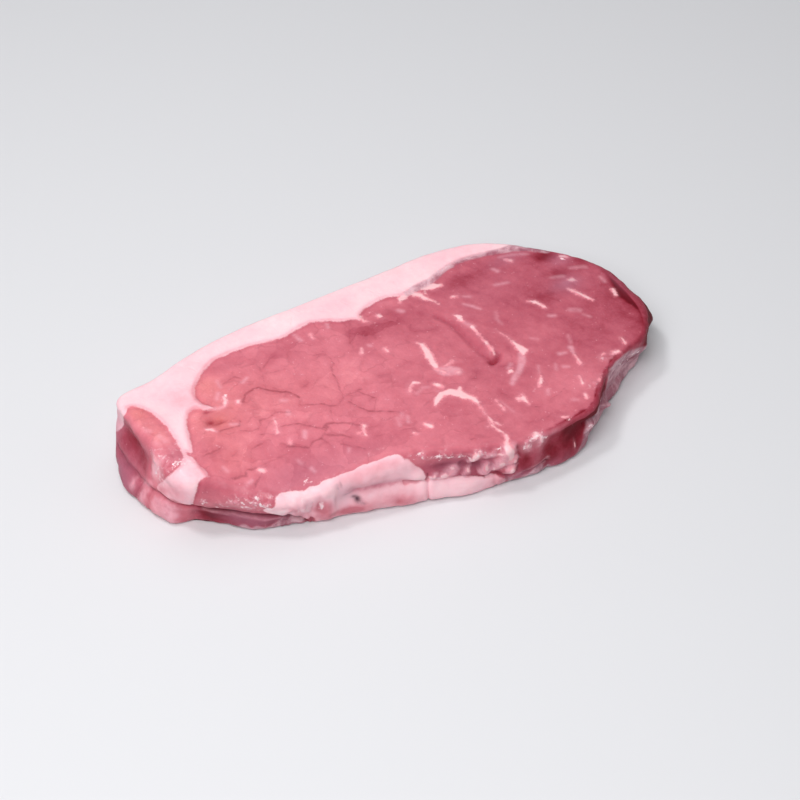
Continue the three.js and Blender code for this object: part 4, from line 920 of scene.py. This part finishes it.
# Faint marbling and pale tissue; on the lump tips, some side patches and the flecks partly a painted
# highlight.
HAZE_PINK = paint(245, 182, 195)
# The membrane, darker between its folds and paler on them, partly painted shade and highlight.
SILVER_DARK = paint(160, 100, 116)
SILVER_PALE = paint(228, 188, 198)
BRUISE = paint(96, 60, 74)
# Painted sheen and painted highlight of the wet surface.
SHEEN = paint(246, 168, 184)
GLINT = paint(255, 224, 229)


class Nodes:
    """Adds nodes to one tree. What is given to an input is a number, a colour or another node's output."""

    def __init__(self, tree):
        self.tree = tree

    def add(self, kind, inputs=(), **settings):
        """A new node with its settings, and its inputs by name or number."""
        node = self.tree.nodes.new(kind)
        for key, value in settings.items():
            setattr(node, key, value)
        for key, value in dict(inputs).items():
            if isinstance(value, bpy.types.NodeSocket):
                self.tree.links.new(value, node.inputs[key])
            else:
                node.inputs[key].default_value = value
        return node

    def math(self, operation, a, b=0.0, c=0.0):
        return self.add("ShaderNodeMath", {0: a, 1: b, 2: c}, operation=operation).outputs[0]

    def mix(self, share, a, b, blend="MIX"):
        """The colour a, going over to b, or to a times b, as the share goes from 0 to 1."""
        inputs = {0: share, 6: a, 7: b}  # the mix node's inputs for colours
        return self.add("ShaderNodeMix", inputs, data_type="RGBA", blend_type=blend).outputs[2]

    def attribute(self, name):
        return self.add("ShaderNodeAttribute", attribute_name=name).outputs["Fac"]

    def noise(self, where, scale, detail=2.0, rough=0.5, distortion=0.0):
        return self.add("ShaderNodeTexNoise", {"Vector": where, "Scale": scale, "Detail": detail,
                                               "Roughness": rough, "Distortion": distortion}).outputs["Fac"]

    def spread(self, value, low, high, start=0.0, end=1.0):
        """start at low, end at high, and a smooth step in between."""
        inputs = {"Value": value, "From Min": low, "From Max": high, "To Min": start, "To Max": end}
        return self.add("ShaderNodeMapRange", inputs, interpolation_type="SMOOTHSTEP").outputs["Result"]

    def scaled(self, vector, by):
        return self.add("ShaderNodeVectorMath", {0: vector, 1: by}, operation="MULTIPLY").outputs[0]

    def ramp(self, value, colours):
        """Colours at equal steps of value from 0 to 1."""
        node = self.add("ShaderNodeValToRGB", {"Fac": value})
        elements = node.color_ramp.elements
        for _ in colours[2:]:
            elements.new(0.5)
        for k, colour in enumerate(colours):
            elements[k].position = k / (len(colours) - 1)
            elements[k].color = paint(*colour)
        return node.outputs["Color"]


def soft_edge_group():
    """Mask = smooth step of (Distance + Wobble (Noise - 1/2)) over Softness, all in millimetres."""
    tree = bpy.data.node_groups.new("soft_edge", "ShaderNodeTree")
    for name in ("Distance", "Noise", "Wobble", "Softness"):
        tree.interface.new_socket(name, in_out="INPUT", socket_type="NodeSocketFloat")
    tree.interface.new_socket("Mask", in_out="OUTPUT", socket_type="NodeSocketFloat")
    n = Nodes(tree)
    given = n.add("NodeGroupInput").outputs
    centred = n.math("SUBTRACT", given["Noise"], 0.5)
    moved = n.math("MULTIPLY_ADD", centred, given["Wobble"], given["Distance"])
    low = n.math("MULTIPLY", given["Softness"], -1.0)
    mask = n.add("ShaderNodeMapRange", {"Value": moved, "From Min": low, "From Max": given["Softness"]},
                 interpolation_type="SMOOTHSTEP").outputs["Result"]
    n.add("NodeGroupOutput", {"Mask": mask})
    return tree


def fibre_bundles(n, where, cells):
    """The dark web between bundles of fibres, and each bundle's own shade.

    The bundles are a Voronoi pattern, drawn out along Z and shifted by a broad and a fine noise.
    """
    warped = where
    for scale, detail, shift in ((70, 3, 0.01), (330, 1, 0.0025)):
        noise = n.add("ShaderNodeTexNoise", {"Vector": where, "Scale": scale, "Detail": detail})
        drift = n.scaled(noise.outputs["Color"], (shift, shift, 0.0))
        warped = n.add("ShaderNodeVectorMath", {0: warped, 1: drift}, operation="ADD").outputs[0]
    flat = n.scaled(warped, (0.75, 1, 0.2))
    border = n.add("ShaderNodeTexVoronoi", {"Vector": flat, "Scale": 140}, feature="DISTANCE_TO_EDGE")
    cell = n.add("ShaderNodeTexVoronoi", {"Vector": flat, "Scale": 140}, feature="F1")
    shade = n.add("ShaderNodeSeparateColor", {"Color": cell.outputs["Color"]}).outputs["Red"]
    broken = n.math("MULTIPLY", n.spread(n.noise(where, 190, 2, 0.5), 0.44, 0.62),
                    n.math("MULTIPLY_ADD", cells, 0.8, 0.2))
    web = n.math("MULTIPLY", n.spread(border.outputs["Distance"], 0.0, 0.1, 1.0, 0.0), broken)
    return web, shade


def meat_material():
    """Raw beef: mottled lean with cracks and marbling, smooth fat, grey membrane, wet in places, with a
    sheen, glints and shade painted into the colour in places.
    """
    material = bpy.data.materials.new("raw_meat")
    material.use_nodes = True
    tree = material.node_tree
    tree.nodes.clear()
    n = Nodes(tree)
    where = n.add("ShaderNodeTexCoord").outputs["Object"]
    soft_edge = soft_edge_group()

    broad = n.noise(where, 75, 3, 0.55)
    medium = n.noise(where, 330, 4, 0.6)
    fine = n.noise(where, 1200, 3, 0.6)
    mottled = n.math("MULTIPLY_ADD", fine, 0.35, n.math("MULTIPLY", medium, 0.65))

    def mask(distance, wobble, softness, noise=mottled):
        inputs = {"Distance": distance, "Noise": noise, "Wobble": wobble, "Softness": softness}
        return n.add("ShaderNodeGroup", inputs, node_tree=soft_edge).outputs["Mask"]

    fat = mask(n.attribute("fat"), 2.0, 0.4)
    streaky = n.noise(where, 460, 3, 0.65)
    marble = mask(n.attribute("marble"), 3.4, 0.55, streaky)
    silver = mask(n.attribute("silver"), 1.2, 0.8)
    crack = n.math("SUBTRACT", 1.0, mask(n.attribute("crack"), 1.0, 0.5, n.noise(where, 420, 2, 0.6)))
    wet = n.attribute("wet")

    cells = n.attribute("cells")
    web, shade = fibre_bundles(n, where, cells)
    # fibres seen along their length in the second muscle
    turned = n.add("ShaderNodeMapping", {"Vector": where, "Rotation": (0, 0, -0.47)}).outputs[0]
    streak = n.noise(n.scaled(turned, (1, 0.2, 1)), 260, 2, 0.5, 0.6)

    tone = n.math("MULTIPLY_ADD", n.math("SUBTRACT", broad, 0.5), 0.9, n.attribute("tone"))
    tone = n.math("MULTIPLY_ADD", n.math("SUBTRACT", medium, 0.5), 0.7, tone)
    tone = n.math("MULTIPLY_ADD", n.math("SUBTRACT", fine, 0.5), 0.35, tone)
    tone = n.math("MULTIPLY_ADD", n.math("SUBTRACT", streak, 0.5),
                  n.math("MULTIPLY_ADD", cells, -0.35, 0.5), tone)
    tone = n.math("MULTIPLY_ADD", n.math("SUBTRACT", shade, 0.5), n.math("MULTIPLY", cells, 0.36), tone)
    lean = n.ramp(n.math("DIVIDE", tone, (len(LEAN_TONES) - 1) / 2), LEAN_TONES)
    lean = n.mix(n.attribute("warm"), lean, WARM_TINT, "MULTIPLY")
    lean = n.mix(n.math("MULTIPLY", web, 0.15), lean, CRACK_RED)
    # On the side the crack attribute also carries the grooves, so this paints shade into them.
    lean = n.mix(n.math("MULTIPLY", crack, 0.6), lean, CRACK_RED)

    # fat: pale with pinker clouds, flushed in places
    flush = n.math("MULTIPLY_ADD", n.math("SUBTRACT", broad, 0.45), 0.7, n.attribute("flush"))
    flush = n.math("MULTIPLY_ADD", n.math("SUBTRACT", medium, 0.5), 0.5, flush)
    # Redder in cracks, and in the side's grooves, where it is painted shade.
    flush = n.math("MULTIPLY_ADD", crack, 0.7, flush)
    fatty = n.ramp(n.math("DIVIDE", flush, (len(FAT_FLUSHES) - 1) / 2), FAT_FLUSHES)

    blotches = n.math("SUBTRACT", n.noise(where, 300, 2, 0.5), 0.5)
    core = n.math("MULTIPLY_ADD", blotches, 2.4, n.attribute("marble"))
    pale = n.mix(n.spread(core, -0.1, 0.9), MARBLE_PINK, MARBLE_FAT)
    smudge = n.math("MULTIPLY", n.attribute("haze"), n.spread(streaky, 0.3, 0.62, 0.6, 1.0))
    colour = n.mix(n.math("MULTIPLY", smudge, 0.95), lean, HAZE_PINK)
    # Pale flecks on the lighter lean: tiny flecks of fat and painted tiny highlights.
    flecks_and_glints = n.math("MULTIPLY", n.spread(n.noise(where, 560, 3, 0.7), 0.64, 0.74),
                   n.spread(tone, 1.5, 2.3, 1.0, 0.2))
    colour = n.mix(n.math("MULTIPLY", flecks_and_glints, 0.4), colour, HAZE_PINK)
    colour = n.mix(n.math("MULTIPLY", marble, 0.85), colour, pale)
    colour = n.mix(fat, colour, fatty)
    # Grey and mauve: the meat's own colour, a painted sheen on the second muscle and painted shade on parts
    # of the side.
    colour = n.mix(n.math("MULTIPLY", n.attribute("mauve"), 0.65), colour, GREY_MAUVE)
    # The membrane is paler on its folds and darker between them, the same folds that bump it: partly
    # painted highlight and shade.
    folds = n.noise(n.scaled(where, (1, 1, 1.6)), 110, 5, 0.68, 0.4)
    skin = n.mix(n.spread(folds, 0.36, 0.64), SILVER_DARK, SILVER_PALE)
    colour = n.mix(n.math("MULTIPLY", silver, 0.8), colour, skin)
    bruise = n.math("MULTIPLY", n.attribute("bruise"), n.spread(medium, 0.35, 0.55, 0.5, 1.0))
    colour = n.mix(bruise, colour, BRUISE)
    # Painted sheen and painted glint specks where it is wet.
    sheen = n.math("MULTIPLY", n.spread(n.noise(where, 420, 2, 0.5), 0.45, 0.62), n.spread(wet, 0.0, 1.0))
    colour = n.mix(n.math("MULTIPLY", sheen, 0.4), colour, SHEEN)
    glint_speck = n.math("MULTIPLY", n.spread(n.noise(where, 800, 1, 0.5), 0.5, 0.72), sheen)
    colour = n.mix(n.math("MULTIPLY", glint_speck, 0.9), colour, GLINT)
    # Painted highlights along the glint chains.
    glint = mask(n.attribute("glint"), 3.0, 0.35, n.noise(where, 620, 3, 0.65))
    colour = n.mix(n.math("MULTIPLY", glint, 0.95), colour, GLINT)

    rough = n.math("SUBTRACT", n.math("MULTIPLY_ADD", medium, 0.16, 0.34), n.math("MULTIPLY", wet, 0.14))
    rough = n.math("MULTIPLY_ADD", n.spread(tone, 1.5, 2.5), 0.3, rough)
    height = n.math("MULTIPLY_ADD", fine, 0.1, n.math("MULTIPLY", medium, 0.5))
    height = n.math("MULTIPLY", height, n.math("MULTIPLY_ADD", fat, -0.5, 1.0))
    height = n.math("MULTIPLY_ADD", web, -0.15, height)
    height = n.math("MULTIPLY_ADD", crack, -0.35, height)
    height = n.math("MULTIPLY_ADD", sheen, 0.5, height)
    height = n.math("MULTIPLY_ADD", n.math("MULTIPLY", silver, folds), 2.0, height)
    bump = n.add("ShaderNodeBump", {"Height": height, "Distance": 0.0005, "Strength": 0.7})

    shader = n.add("ShaderNodeBsdfPrincipled", {
        "Base Color": colour, "Roughness": rough, "Normal": bump.outputs["Normal"],
        "Subsurface Weight": 0.15, "Subsurface Radius": (1.0, 0.35, 0.3), "Subsurface Scale": 0.0025,
        "IOR": 1.4, "Specular IOR Level": 0.18,
        "Coat Weight": n.math("MULTIPLY_ADD", wet, 0.9, 0.05), "Coat Roughness": 0.1})
    n.add("ShaderNodeOutputMaterial", {"Surface": shader.outputs["BSDF"]})
    return material


# ---- the pieces ---------------------------------------------------------------------------------------

steak = make_mesh("steak_meat", *build_steak())
steak.data.materials.append(meat_material())
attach(steak, "root")
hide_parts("steak")


# ---- the studio ---------------------------------------------------------------------------------------

CAMERA_ELEVATION = 44  # degrees above the floor
CAMERA_AZIMUTH = -33  # degrees from the front, to the left
CAMERA_DISTANCE = 679.25  # mm from the target
CAMERA_TARGET = (-2.01, 0.16, 9.5)
CAMERA_LENS = 85
SOFT_LIGHTS = (  # name, place and size in metres, power
    ("key", (-0.45, -0.35, 0.85), 0.7, 8.2),
    ("glint", (-0.3, 0.25, 0.9), 0.16, 2.4),
    ("fill", (0.8, -0.6, 0.6), 0.8, 0.8),
    ("top", (0.2, 0.4, 0.9), 0.9, 2.0),
)
SKY = (0.9, 0.92, 0.95, 1)
SKY_STRENGTH = 0.16


def plain_floor():
    """A wide pale floor at the steak's own level."""
    size = 3.0
    mesh = bpy.data.meshes.new("floor")
    corners = [(-size, -size, 0), (size, -size, 0), (size, size, 0), (-size, size, 0)]
    mesh.from_pydata(corners, [], [(0, 1, 2, 3)])
    material = bpy.data.materials.new("pale_floor")
    material.use_nodes = True
    shader = material.node_tree.nodes["Principled BSDF"]
    shader.inputs["Base Color"].default_value = paint(220, 220, 223)
    shader.inputs["Roughness"].default_value = 0.7
    mesh.materials.append(material)
    floor = bpy.data.objects.new("floor", mesh)
    bpy.context.scene.collection.objects.link(floor)


def aim(thing, place, target):
    """Puts a light or camera at a place and turns it to look at the target."""
    thing.location = place
    thing.rotation_euler = (Vector(target) - Vector(place)).to_track_quat("-Z", "Y").to_euler()


def soft_light(name, place, size, power):
    """A square area light that looks at the steak."""
    data = bpy.data.lights.new(name, "AREA")
    data.size = size
    data.energy = power
    light = bpy.data.objects.new(name, data)
    bpy.context.scene.collection.objects.link(light)
    aim(light, place, (0, 0, 0.01))


def photo_camera():
    """The photograph's view, through a long lens."""
    elevation, azimuth = np.radians(CAMERA_ELEVATION), np.radians(CAMERA_AZIMUTH)
    level = np.array([np.sin(azimuth), -np.cos(azimuth), 0.0]) * np.cos(elevation)
    back = level + (0, 0, np.sin(elevation))
    target = np.array(CAMERA_TARGET) * MM
    data = bpy.data.cameras.new("camera")
    data.lens = CAMERA_LENS
    data.clip_start = 0.01
    camera = bpy.data.objects.new("camera", data)
    bpy.context.scene.collection.objects.link(camera)
    aim(camera, target + back * CAMERA_DISTANCE * MM, target)
    bpy.context.scene.camera = camera


plain_floor()
for name, place, size, power in SOFT_LIGHTS:
    soft_light(name, place, size, power)
world = bpy.data.worlds.new("studio")
bpy.context.scene.world = world
world.use_nodes = True
world.node_tree.nodes["Background"].inputs["Color"].default_value = SKY
world.node_tree.nodes["Background"].inputs["Strength"].default_value = SKY_STRENGTH
bpy.context.scene.view_settings.view_transform = "Standard"
photo_camera()
